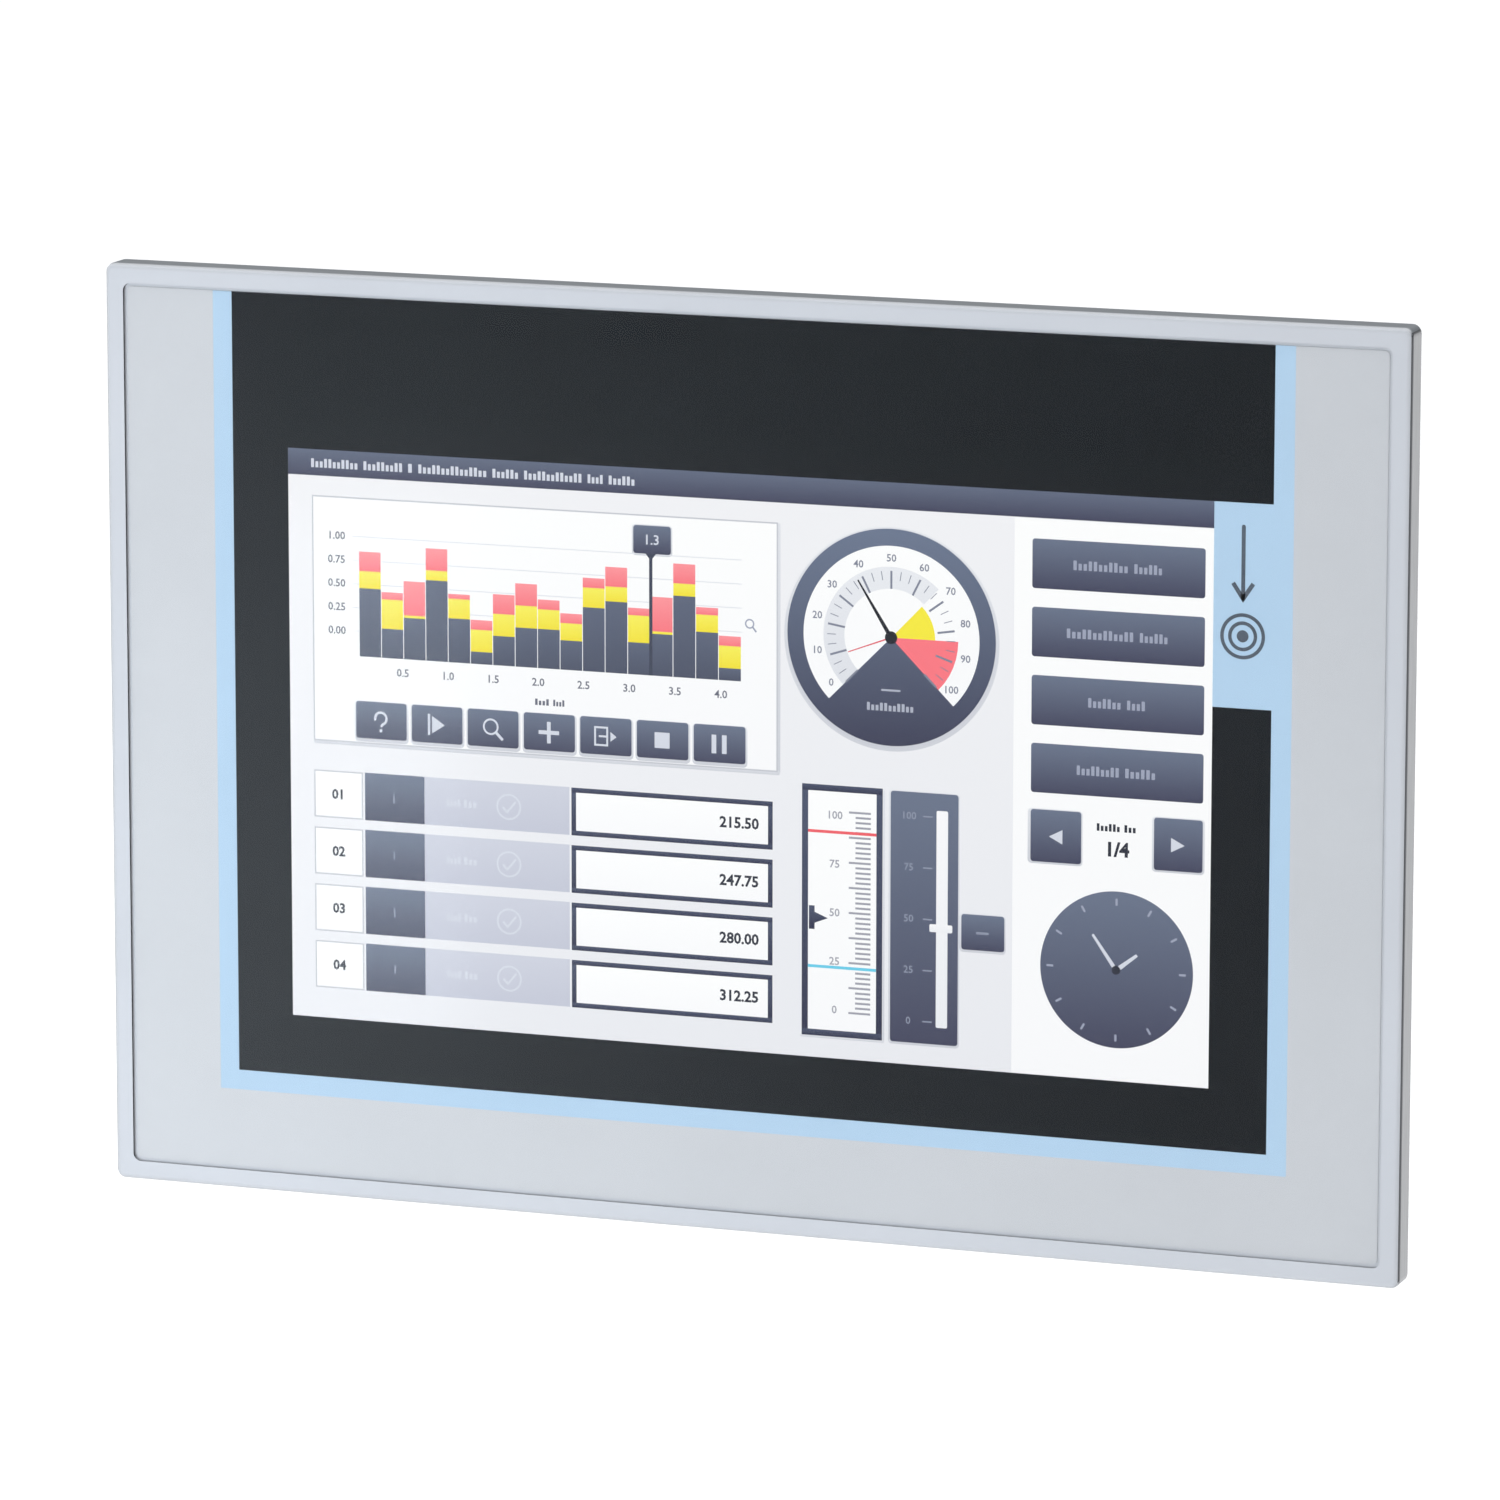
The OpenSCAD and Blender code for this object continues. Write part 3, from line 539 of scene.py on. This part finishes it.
def draw_gauge(screen):
    cu, cv = 128.3, 85.8
    ring = screen.layer("gauge_ring", lit("screen_gauge_ring", srgb(58, 60, 84), srgb(108, 120, 144)))
    ring.sector(cu, cv, 0, 21.8, 0, 360, 96)
    ring.done()
    face = screen.layer("gauge_face", lit("screen_gauge_face", srgb(250, 250, 252), srgb(255, 255, 255)))
    face.sector(cu, cv, 0, 18.4, -45, 225, 96)
    face.done()
    band = screen.layer("gauge_band", lit("screen_gauge_band", srgb(222, 224, 231), srgb(234, 236, 241)))
    band.sector(cu, cv, 9.8, 14.2, 46, 225, 96)
    band.done()
    yellow = screen.layer("gauge_yellow", lit("screen_gauge_yellow", srgb(246, 232, 60)))
    yellow.sector(cu, cv, 0, 9.2, 0, 46)
    yellow.done()
    pink = screen.layer("gauge_pink", lit("screen_gauge_pink", srgb(250, 120, 130)))
    pink.sector(cu, cv, 0, 14, -45, 0)
    pink.done()
    ticks = screen.layer("gauge_ticks", lit("screen_gauge_ticks", srgb(128, 133, 150)))
    for k in range(31):
        a = math.radians(-45 + 9 * k)
        r0 = 9.8 if k % 3 == 0 else 11.6
        ticks.line((cu + r0 * math.cos(a), cv + r0 * math.sin(a)),
                   (cu + 13.4 * math.cos(a), cv + 13.4 * math.sin(a)), 0.42 if k % 3 == 0 else 0.16)
    for k in range(11):
        a = math.radians(218 - 25.6 * k)
        ticks.number(str(10 * k), cu + 15.9 * math.cos(a), cv + 15.9 * math.sin(a), 1.5, bold=0.02)
    ticks.done()
    red = screen.layer("gauge_marker", lit("screen_gauge_marker", srgb(222, 80, 92)))
    red.line((cu, cv), (cu - 9, cv - 3.4), 0.3, 0.2)
    red.done()
    needle = screen.layer("gauge_needle", lit("screen_gauge_needle", srgb(30, 32, 42)))
    needle.line((cu, cv), (cu - 7, cv + 11.2), 0.9, 0.3)
    needle.sector(cu, cv, 0, 1.3, 0, 360, 32)
    needle.done()
    label = screen.layer("gauge_label", lit("screen_gauge_label", srgb(176, 181, 196)))
    label.rect(cu - 2, cv - 10.8, cu + 2, cv - 10.4)
    label.words(cu - 5.0, cv - 14.8, 1.6, (10.0,))
    label.done()


def draw_meters(screen):
    """Upright scale with its pointer and limit lines, and the slider beside it."""
    dark = screen.layer("meter_frame", lit("screen_meter_frame", srgb(46, 48, 74), srgb(74, 82, 106)))
    dark.frame(109.7, 4.1, 126.7, 55.3, 1.3)
    for row in range(ROWS):
        dark.frame(60.5, ROW_LOW + ROW_PITCH * row, 103.5, ROW_HIGH + ROW_PITCH * row, 1.0)
    dark.poly([(111.2, 26.6), (115.2, 28.2), (111.2, 29.8)])
    dark.rect(111.2, 25.8, 112.4, 30.6)
    dark.done()
    scale = screen.layer("meter_scale", lit("screen_meter_scale", srgb(150, 153, 166), srgb(166, 166, 176)))
    for k in range(41):
        long_mark = k % 5 == 0
        scale.rect(119.6 if long_mark else 121.0, 9 + 1.02 * k, 124.2, 9.42 + 1.02 * k)
    for k in range(5):
        scale.number(str(25 * k), 116.6, 9.6 + 9.9 * k, 1.6, bold=0.02)
    scale.done()
    red = screen.layer("meter_red", lit("screen_meter_red", srgb(240, 96, 104)))
    red.rect(111.0, 45.5, 125.4, 46.1)
    red.done()
    cyan = screen.layer("meter_cyan", lit("screen_meter_cyan", srgb(104, 204, 232)))
    cyan.rect(111.0, 18.0, 125.4, 18.6)
    cyan.done()
    track = screen.layer("slider_track", lit("screen_slider_track", srgb(236, 238, 242), srgb(250, 250, 252)))
    track.rect(138.0, 7.6, 140.4, 51.6, 0.3)
    track.rect(136.6, 27.0, 141.4, 28.6, 0.3)
    track.done()
    faint = screen.layer("slider_marks", lit("screen_slider_marks", srgb(132, 138, 158), srgb(150, 158, 176)))
    for k in range(5):
        faint.number(str(25 * k), 132.2, 8.6 + 10.4 * k, 1.5, bold=0.02)
        faint.rect(135.2, 8.5 + 10.4 * k, 137.2, 8.8 + 10.4 * k)
    faint.rect(146.4, 27.2, 149.0, 27.7)
    faint.done()


def draw_marks(screen):
    """Greeked words, plain numbers and simple signs on the buttons and fields."""
    soft = screen.layer("marks_soft", lit("screen_marks_soft", srgb(158, 164, 184)))
    for k, lengths in enumerate([(9, 6.5), (7, 4), (14, 6), (11.5, 6)]):
        total = sum(lengths) + 1.0
        soft.words(175.3 - total / 2, 60.8 + 13.6 * k, 1.9, lengths)
    for k in range(12):
        a = math.radians(30 * k)
        soft.line((175.5 + 13 * math.cos(a), 22.1 + 13 * math.sin(a)),
                  (175.5 + 14.4 * math.cos(a), 22.1 + 14.4 * math.sin(a)), 0.45)
    for row in range(4):
        v = 10.8 + 11.8 * row
        soft.rect(21.9, v - 1.0, 22.2, v + 1.0)
    soft.sector(98.6, 86.8, 0.7, 1.0, 0, 360, 24)
    soft.line((99.2, 86.2), (100.0, 85.2), 0.35)
    soft.done()
    pale = screen.layer("marks_pale", lit("screen_marks_pale", srgb(212, 216, 227)))
    pale.words(4.5, 113.2, 1.8, (10.4, 8.7, 1.2, 15, 5.8, 12.6, 3.5, 5.8))
    pale.poly([(161.4, 48.05), (164.2, 46.6), (164.2, 49.5)])
    pale.poly([(189.4, 48.05), (186.6, 49.5), (186.6, 46.6)])
    pale.number("1.3", 77.8, 102.4, 2.0, bold=0.02)
    draw_button_signs(pale, 13.8, 62.0)
    for row in range(4):
        v = 10.8 + 11.8 * row
        pale.words(33.5, v - 0.8, 1.6, (3.2, 3.0), 0.6)
        pale.sector(47, v, 2.3, 2.7, 0, 360, 40)
        pale.line((45.7, v - 0.1), (46.7, v - 1.2), 0.45)
        pale.line((46.6, v - 1.2), (48.5, v + 1.1), 0.45)
    pale.line((175.0, 22.8), (170.6, 29.0), 0.8, 0.5)
    pale.line((176.2, 22.6), (179.8, 25.4), 0.9, 0.6)
    pale.done()

    ink = screen.layer("marks_ink", lit("screen_marks_ink", srgb(46, 49, 62)))
    for row in range(4):
        ink.number(f"{row + 1:02d}", 9.9, 10.8 + 11.8 * (3 - row), 2.0, bold=0.04)
        ink.number(f"{215.5 + 32.25 * row:.2f}", 100.6, 10.8 + 11.8 * (3 - row), 2.2, "RIGHT", 0.04)
    ink.words(171.3, 49.9, 1.5, (5, 2.6), 0.7)
    ink.number("1/4", 175.5, 46.2, 2.8, bold=0.05)
    ink.sector(175.5, 22.1, 0, 0.9, 0, 360, 24)
    ink.done()
    grey = screen.layer("marks_grey", lit("screen_marks_grey", srgb(104, 107, 122)))
    for k in range(5):
        grey.number(f"{0.25 * k:.2f}", 9.9, 80.1 + 4.85 * k, 1.6, bold=0.02)
    for k in range(8):
        grey.number(f"{0.5 * (k + 1):.1f}", 24.2 + 9.76 * k, 72.1, 1.6, bold=0.02)
    grey.words(52.8, 67.5, 1.3, (3.2, 2.6), 0.7)
    grey.done()


def draw_button_signs(pale, left, middle):
    """Signs of the seven small buttons: ring, flag, lens, plus, sheet with arrow, stop and pause."""
    u = [left + 5.5 + SMALL_PITCH * k for k in range(SMALL_BUTTONS)]
    pale.sector(u[0], middle + 0.5, 1.0, 1.5, -60, 200, 24)
    pale.rect(u[0] - 0.3, middle - 2.3, u[0] + 0.3, middle - 1.7)
    pale.line((u[0] + 0.6, middle - 0.4), (u[0], middle - 1.2), 0.5)
    pale.rect(u[1] - 1.9, middle - 2.2, u[1] - 1.4, middle + 2.2)
    pale.poly([(u[1] - 1.0, middle - 1.8), (u[1] + 1.8, middle), (u[1] - 1.0, middle + 1.8)])
    pale.sector(u[2] - 0.4, middle + 0.4, 1.3, 1.7, 0, 360, 32)
    pale.line((u[2] + 0.8, middle - 0.8), (u[2] + 2.2, middle - 2.2), 0.6)
    pale.rect(u[3] - 2.2, middle - 0.4, u[3] + 2.2, middle + 0.4)
    pale.rect(u[3] - 0.4, middle + 0.4, u[3] + 0.4, middle + 2.2)
    pale.rect(u[3] - 0.4, middle - 2.2, u[3] + 0.4, middle - 0.4)
    pale.frame(u[4] - 2.4, middle - 2.0, u[4] + 0.6, middle + 2.0, 0.4)
    pale.rect(u[4] - 1.4, middle - 0.2, u[4] + 0.6, middle + 0.2)
    pale.poly([(u[4] + 2.4, middle), (u[4] + 1.1, middle + 1.0), (u[4] + 1.1, middle - 1.0)])
    pale.rect(u[5] - 1.6, middle - 1.6, u[5] + 1.6, middle + 1.6)
    pale.rect(u[6] - 1.6, middle - 1.9, u[6] - 0.6, middle + 1.9)
    pale.rect(u[6] + 0.6, middle - 1.9, u[6] + 1.6, middle + 1.9)


def draw_tab_sign():
    """Plain touch sign on the blue tab: a dot with rings that spread from it."""
    mat = surface("tab_sign_ink", (0.05, 0.07, 0.10), 0.5, vary=0.1)
    middle = ((VIEW_W / 2 + BLACK_RIGHT) / 2, (TAB_LOW + TAB_HIGH) / 2)
    sign = Layer("tab_sign", mat, (middle[0], INK_FRONT + 0.005 * MM, middle[1]), 0.015, "ink_black")
    sign.sector(0, -6, 0, 1.2, 0, 360, 32)
    for r in (2.6, 4.2):
        sign.sector(0, -6, r - 0.35, r + 0.35, 0, 360, 48)
    sign.rect(-0.4, 1, 0.4, 16, 0.39)
    sign.poly([(-2.4, 4.2), (0, 0.6), (2.4, 4.2), (1.7, 4.7), (0, 2.2), (-1.7, 4.7)][::-1])
    sign.done()


# ---------- materials of the CAD nodes ----------

def dress(node, mat, *inner):
    """Gives a CAD node its material. Each of inner is (material, test), and the faces whose
    centre and normal pass the test take that material."""
    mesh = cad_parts[node].data
    mesh.materials.clear()
    mesh.materials.append(mat)
    for face in mesh.polygons:
        face.material_index = 0
    for index, (other, test) in enumerate(inner, 1):
        mesh.materials.append(other)
        for face in mesh.polygons:
            if test(face.center / MM, face.normal):
                face.material_index = index


def dress_front():
    satin = surface("satin_silver", (0.53, 0.545, 0.58), 0.5, metallic=0.2, vary=0.02, grain=2200, gloss=0.25)
    machined = surface("machined_edge", (0.41, 0.425, 0.445), 0.34, metallic=1.0, vary=0.03, grain=2600,
                       stretch=(0.05, 1, 0.05), edge=0.0004)
    # The left and right side faces of the bezel take a much darker copy of the machined edge metal: painted
    # shade, so these sides look shaded under any light.
    side = surface("painted_shade_side", (0.113, 0.116, 0.123), 0.34, metallic=1.0, vary=0.03, grain=2600,
                   stretch=(1, 1, 0.05), edge=0.0004)
    dress("front_bezel", machined, (satin, lambda c, n: n.y < -0.6), (side, lambda c, n: abs(n.x) > 0.8))
    dress("mounting_seal", surface("seal_rubber", (0.035, 0.035, 0.038), 0.75, vary=0.2))
    dress("front_film", clear_sheet("clear_film", (0.995, 0.995, 0.995), 1.22, 0.3))
    dress("film_print_silver", surface("silver_ink", (0.53, 0.542, 0.565), 0.5, metallic=0.12, vary=0.015,
                                       grain=4000, gloss=0.2))
    dress("film_print_blue", surface("blue_ink", (0.42, 0.58, 0.735), 0.6, vary=0.015, grain=4000, gloss=0.2))
    dress("film_print_black", surface("black_ink", (0.0065, 0.0085, 0.011), 0.5, vary=0.1,
                                      grain=4000, grain_strength=0.02, gloss=0.03))
    dress("touch_sensor", clear_sheet("touch_glass", (0.99, 0.995, 0.995), 1.17, 0.08))
    tape = surface("black_tape", (0.02, 0.02, 0.022), 0.8, vary=0.2)
    for node in ("touch_tape", "lcd_gasket"):
        dress(node, tape)
    dress("lcd_panel", surface("screen_glass", (0.02, 0.02, 0.022), 0.2, vary=0.1))


def dress_inside():
    flex = surface("flex_film", (0.45, 0.23, 0.04), 0.35, vary=0.1, coat=0.4)
    for node in ("touch_tail", "lcd_cable"):
        dress(node, flex)
    steel = surface("sheet_steel", (0.55, 0.56, 0.57), 0.38, metallic=1.0, stretch=(0.05, 1, 1))
    for node in ("lcd_frame", "lcd_back_plate", "display_carrier"):
        dress(node, steel)
    white = surface("white_plastic", (0.8, 0.8, 0.78), 0.5, vary=0.04)
    for node in ("diffuser_sheets", "cable_sockets"):
        dress(node, white)
    dress("light_guide", clear_sheet("clear_acrylic", (0.95, 0.98, 0.98), 1.49, 0.06))
    dress("led_strip", surface("led_board", (0.8, 0.7, 0.3), 0.5, vary=0.1))
    dress("main_board", surface("board_laminate", (0.01, 0.12, 0.04), 0.35, vary=0.2, cloud=120, coat=0.5))
    dress("board_chips", surface("chip_plastic", (0.025, 0.025, 0.028), 0.5))
    dress("thermal_pad", surface("thermal_rubber", (0.3, 0.4, 0.5), 0.8))
    dress("heat_sink", surface("sink_aluminium", (0.7, 0.71, 0.73), 0.35, metallic=1.0, stretch=(1, 1, 0.05)))
    top = high("power_capacitors").y / MM
    dress("power_capacitors", surface("capacitor_sleeve", (0.02, 0.03, 0.08), 0.35),
          (surface("capacitor_top", (0.75, 0.75, 0.76), 0.35, metallic=1.0), lambda c, n: c.y > top - 0.01))


def dress_sockets():
    """Tin shells with dark plastic inside, and gold contacts."""
    tin = surface("tin_shell", (0.68, 0.68, 0.67), 0.28, metallic=1.0, vary=0.06, cloud=200, edge=0.00015)
    dark = surface("socket_plastic", (0.03, 0.03, 0.033), 0.45, edge=0.00015)
    gold = surface("contact_gold", (0.83, 0.62, 0.28), 0.25, metallic=1.0, vary=0.06, cloud=400)
    for node in ("ethernet_jacks", "usb_sockets", "service_socket"):
        lowest, highest = low(node) / MM, high(node) / MM

        def is_inside(c, n, lo=lowest, hi=highest):
            return (lo.z + 0.5 < c.z < hi.z - 0.2 and lo.y + 0.2 < c.y < hi.y - 0.2
                    and not shell_side(node, c, lo, hi))
        dress(node, tin, (dark, is_inside))
    lowest, highest = low("serial_connector") / MM, high("serial_connector") / MM
    middle_x, middle_y = (lowest.x + highest.x) / 2, SERIAL_Y / MM

    def in_d_shell(c, n):
        return abs(c.x - middle_x) < 8.25 and abs(c.y - middle_y) < 3.95 and c.z < lowest.z + 7

    dress("serial_connector", tin, (dark, lambda c, n: in_d_shell(c, n) and c.z > lowest.z + 6),
          (gold, lambda c, n: in_d_shell(c, n) and lowest.z + 0.5 < c.z <= lowest.z + 6
           and abs(c.y - middle_y) < 2.2 and abs(c.x - middle_x) < 6.4))
    dress("card_socket", tin)
    dress("audio_socket", dark)
    green = surface("green_plastic", (0.03, 0.30, 0.10), 0.45, vary=0.06, edge=0.0002)
    dress("power_header", green)
    dress("power_plug", green)
    card = surface("card_plastic", (0.03, 0.04, 0.07), 0.45, edge=0.0002)
    dress("memory_card_1", card)
    dress("memory_card_2", card)
    return gold


def shell_side(node, c, lo, hi):
    """True on the outer side faces of a row of equal sockets, which touch none of their own cavity."""
    count, width = {"ethernet_jacks": (2, JACK_WIDTH), "usb_sockets": (2, BUS_WIDTH),
                    "service_socket": (1, SERVICE_WIDTH)}[node]
    lefts = [lo.x] if count == 1 else [lo.x, hi.x - width]
    return any(abs(c.x - left) < 0.05 or abs(c.x - left - width) < 0.05 for left in lefts)


def dress_housing():
    dress("rear_housing", surface("housing_paint", (0.20, 0.215, 0.23), 0.55, metallic=0.3, vary=0.04,
                                  grain=1400, grain_depth=0.00006, grain_strength=0.5, edge=0.0006))
    dress("socket_plate", surface("plate_steel", (0.66, 0.67, 0.68), 0.34, metallic=1.0, stretch=(0.03, 1, 1),
                                  grain=2600, edge=0.0002))
    zinc = surface("zinc_steel", (0.62, 0.63, 0.64), 0.32, metallic=1.0, vary=0.1, cloud=400, edge=0.0002)
    for node in ("carrier_screws", "board_screws", "housing_screws", "serial_jackscrews",
                 "terminal_screw_1", "terminal_screw_2"):
        dress(node, zinc)
    brass = surface("brass", (0.72, 0.55, 0.25), 0.3, metallic=1.0, vary=0.1, cloud=300, edge=0.0002)
    for node in ("board_standoffs", "wire_cage_1", "wire_cage_2", "earth_screw"):
        dress(node, brass)
    pad = surface("pad_plastic", (0.04, 0.04, 0.045), 0.55, edge=0.0003)
    for k in range(1, 7):
        dress(f"clamp_screw_{k}", zinc)
        dress(f"clamp_pad_{k}", pad)
    dress("rating_label", surface("label_film", (0.75, 0.76, 0.75), 0.4, vary=0.03))
    dress("mounting_clips", surface("clip_aluminium", (0.66, 0.68, 0.70), 0.36, metallic=1.0,
                                    stretch=(0.04, 1, 1), grain=1500, edge=0.0003))
    return zinc


# ---------- pieces added behind the front ----------

def finish_piece(name, bm, mat, body):
    bmesh.ops.recalc_face_normals(bm, faces=bm.faces)
    mesh = bpy.data.meshes.new(name)
    bm.to_mesh(mesh)
    bm.free()
    mesh.materials.append(mat)
    piece = bpy.data.objects.new(name, mesh)
    scene.collection.objects.link(piece)
    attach(piece, body)
    return piece


def loft(bm, rings):
    """Closed skin over rings of points, capped at both ends."""
    rows = [[bm.verts.new(p) for p in ring] for ring in rings]
    n = len(rows[0])
    for a, b in zip(rows, rows[1:]):
        for k in range(n):
            bm.faces.new([a[k], a[(k + 1) % n], b[(k + 1) % n], b[k]])
    bm.faces.new(rows[0][::-1])
    bm.faces.new(rows[-1])


def clamp_screw(k, mat):
    """Threaded clamp screw with its plain dog point and slotted end, in place of the plain CAD rod."""
    node = f"clamp_screw_{k}"
    lo, hi = low(node), high(node)
    x, z = (lo.x + hi.x) / 2, (lo.z + hi.z) / 2
    crest, pitch, sides = (hi.x - lo.x) / 2, 0.7 * MM, 20
    root, point_r = crest - 0.3 * MM, 1.5 * MM
    start, stop = lo.y + 1.65 * MM, hi.y - 1.2 * MM
    bm = bmesh.new()

    def ring(r_of, y):
        out = []
        for i in range(sides):
            a = 2 * math.pi * i / sides
            r = r_of(i / sides, y)
            out.append((x + r * math.cos(a), y, z + r * math.sin(a)))
        return out

    def thread(turn, y):
        phase = ((y / pitch) - turn) % 1.0
        ends = min(1.0, (y - start) / pitch, (stop - y) / pitch + 0.5)
        return root + (crest - root) * abs(1 - 2 * phase) * max(0.0, ends)

    rings = [ring(lambda t, y: point_r - 0.25 * MM, lo.y), ring(lambda t, y: point_r, lo.y + 0.25 * MM),
             ring(lambda t, y: point_r, start - 0.01 * MM)]
    steps = int((stop - start) / pitch * 6)
    rings += [ring(thread, start + (stop - start) * i / steps) for i in range(steps + 1)]
    loft(bm, rings)
    for side in (1, -1):
        half = []
        for i in range(13):
            a = math.radians(14 + 152 * i / 12)
            half.append((root * math.cos(a), side * root * math.sin(a)))
        loft(bm, [[(x + u, y, z + v) for u, v in half] for y in (stop, hi.y - 0.2 * MM)]
             + [[(x + u * 0.9, hi.y, z + v * 0.93) for u, v in half]])
    piece = finish_piece(f"threaded_screw_{k}", bm, mat, node)
    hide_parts(node)


def jack_contacts(gold):
    """Eight sprung contact wires in each network socket."""
    lo, hi = low("ethernet_jacks"), high("ethernet_jacks")
    bm = bmesh.new()
    for middle in (lo.x + 8 * MM, hi.x - 8 * MM):
        for k in range(8):
            x = middle + (k - 3.5) * 1.02 * MM
            path = [(lo.y + 2.1 * MM, lo.z + 1.2 * MM), (lo.y + 2.5 * MM, lo.z + 2.2 * MM),
                    (lo.y + 4.9 * MM, lo.z + 9.5 * MM), (lo.y + 5.0 * MM, lo.z + 12.9 * MM)]
            rings = [[(x - 0.2 * MM, y, z), (x + 0.2 * MM, y, z), (x + 0.2 * MM, y + 0.25 * MM, z),
                      (x - 0.2 * MM, y + 0.25 * MM, z)] for y, z in path]
            loft(bm, rings)
    finish_piece("network_contacts", bm, gold, "panel")


def jack_lights():
    """Two small indicator windows in the mouth of each network socket."""
    lo, hi = low("ethernet_jacks"), high("ethernet_jacks")
    for name, side, colour in (("network_light_green", -1, (0.10, 0.45, 0.12)),
                               ("network_light_amber", 1, (0.75, 0.42, 0.05))):
        bm = bmesh.new()
        for middle in (lo.x + 8 * MM, hi.x - 8 * MM):
            x = middle + side * 4.6 * MM
            outline = [(x - 1.3 * MM, hi.y - 1.6 * MM), (x + 1.3 * MM, hi.y - 1.6 * MM),
                       (x + 1.3 * MM, hi.y - 0.4 * MM), (x - 1.3 * MM, hi.y - 0.4 * MM)]
            loft(bm, [[(u, v, lo.z + drop * MM) for u, v in outline] for drop in (-0.02, 0.05)])
        lens = surface(name + "_lens", colour, 0.25, vary=0.08, coat=0.5)
        finish_piece(name, bm, lens, "panel")


def usb_contacts(gold):
    """Four flat contacts on each bus socket's tongue."""
    lo, hi = low("usb_sockets"), high("usb_sockets")
    bm = bmesh.new()
    for middle in (lo.x + 6.6 * MM, hi.x - 6.6 * MM):
        for k in range(4):
            x = middle + (k - 1.5) * 2.3 * MM
            y, z = lo.y + 2.8 * MM, lo.z + 2.4 * MM
            loft(bm, [[(x - 0.5 * MM, y, z), (x + 0.5 * MM, y, z),
                       (x + 0.5 * MM, y - 0.06 * MM, z + 0.2 * MM),
                       (x - 0.5 * MM, y - 0.06 * MM, z + 0.2 * MM)],
                      [(x - 0.5 * MM, y, z + 7 * MM), (x + 0.5 * MM, y, z + 7 * MM),
                       (x + 0.5 * MM, y - 0.06 * MM, z + 7 * MM), (x - 0.5 * MM, y - 0.06 * MM, z + 7 * MM)]])
    finish_piece("bus_contacts", bm, gold, "panel")


def label_print():
    """Blank label: border, ruled boxes and greeked lines, with no lettering."""
    lo, hi = low("rating_label"), high("rating_label")
    w, h = (hi.x - lo.x) / MM, (hi.z - lo.z) / MM
    ink = surface("label_ink", (0.06, 0.065, 0.07), 0.5, vary=0.1)
    sheet = Layer("label_print", ink, (hi.x, hi.y + 0.02 * MM, lo.z), 0.015, "label_film",
                  axes=(-RIGHT, UP, -INTO))
    sheet.frame(1.5, 1.5, w - 1.5, h - 1.5, 0.35)
    sheet.rect(1.85, h - 12, w - 1.85, h - 11.7)
    sheet.rect(46, 1.85, 46.3, h - 12)
    sheet.words(5, h - 8, 2.4, (16, 10, 5), 1.6)
    for row, lengths in enumerate([(12, 8, 6), (9, 11), (14, 5, 8), (7, 9, 7), (11, 6)]):
        sheet.words(5, h - 17.5 - 4.6 * row, 1.6, lengths)
    sheet.frame(50, 6, 68, 24, 0.5)
    sheet.sector(59, 15, 4.4, 5.2, 0, 360, 40)
    sheet.line((53.5, 9.5), (64.5, 20.5), 0.8)
    sheet.done()


def plate_signs():
    """Plain signs beside the sockets: earth, plus and minus, and a small box for each socket."""
    lo = low("socket_plate")
    ink = surface("plate_ink", (0.04, 0.042, 0.045), 0.5, vary=0.1)
    signs = Layer("plate_signs", ink, (0, lo.y, lo.z - 0.012 * MM), 0.015, "ink_black",
                  axes=(RIGHT, -INTO, UP))
    earth = (low("earth_screw").x + high("earth_screw").x) / 2 / MM
    v = -3.4
    signs.rect(earth - 0.2, v, earth + 0.2, v + 2)
    for k, half in enumerate((1.6, 1.1, 0.5)):
        signs.rect(earth - half, v - 0.2 - 0.7 * k, earth + half, v + 0.1 - 0.7 * k)
    for i, x in ((1, 0), (2, 1)):
        pole = (low(f"terminal_screw_{i}").x + high(f"terminal_screw_{i}").x) / 2 / MM
        signs.rect(pole - 0.9, -1.9, pole + 0.9, -1.5)
        if x == 0:
            signs.rect(pole - 0.2, -2.6, pole + 0.2, -1.9)
            signs.rect(pole - 0.2, -1.5, pole + 0.2, -0.8)
    for node, width in (("ethernet_jacks", JACK_WIDTH), ("usb_sockets", BUS_WIDTH)):
        for middle in (low(node).x / MM + width / 2, high(node).x / MM - width / 2):
            signs.frame(middle - 1.6, -2.6, middle + 1.6, -0.9, 0.3)
            signs.rect(middle - 0.9, -2.1, middle + 0.9, -1.4)
    signs.done()


def card_stickers():
    """Blank label on the broad face of each memory card."""
    paper = surface("card_sticker_film", (0.62, 0.64, 0.66), 0.45, vary=0.05)
    for k in (1, 2):
        node = f"memory_card_{k}"
        lo, hi = low(node), high(node)
        sticker = Layer(f"card_sticker_{k}", paper, (hi.x, hi.y + 0.02 * MM, lo.z), 0.03, "label_film", node,
                        (-RIGHT, UP, -INTO))
        sticker.rect(7, 3, (hi.x - lo.x) / MM - 3, (hi.z - lo.z) / MM - 3, 0.8)
        sticker.done()


place_camera()
studio()
dress_front()
dress_inside()
contact_gold = dress_sockets()
zinc_steel = dress_housing()
draw_screen()
draw_tab_sign()
for number in range(1, 7):
    clamp_screw(number, zinc_steel)
jack_contacts(contact_gold)
jack_lights()
usb_contacts(contact_gold)
label_print()
plate_signs()
card_stickers()
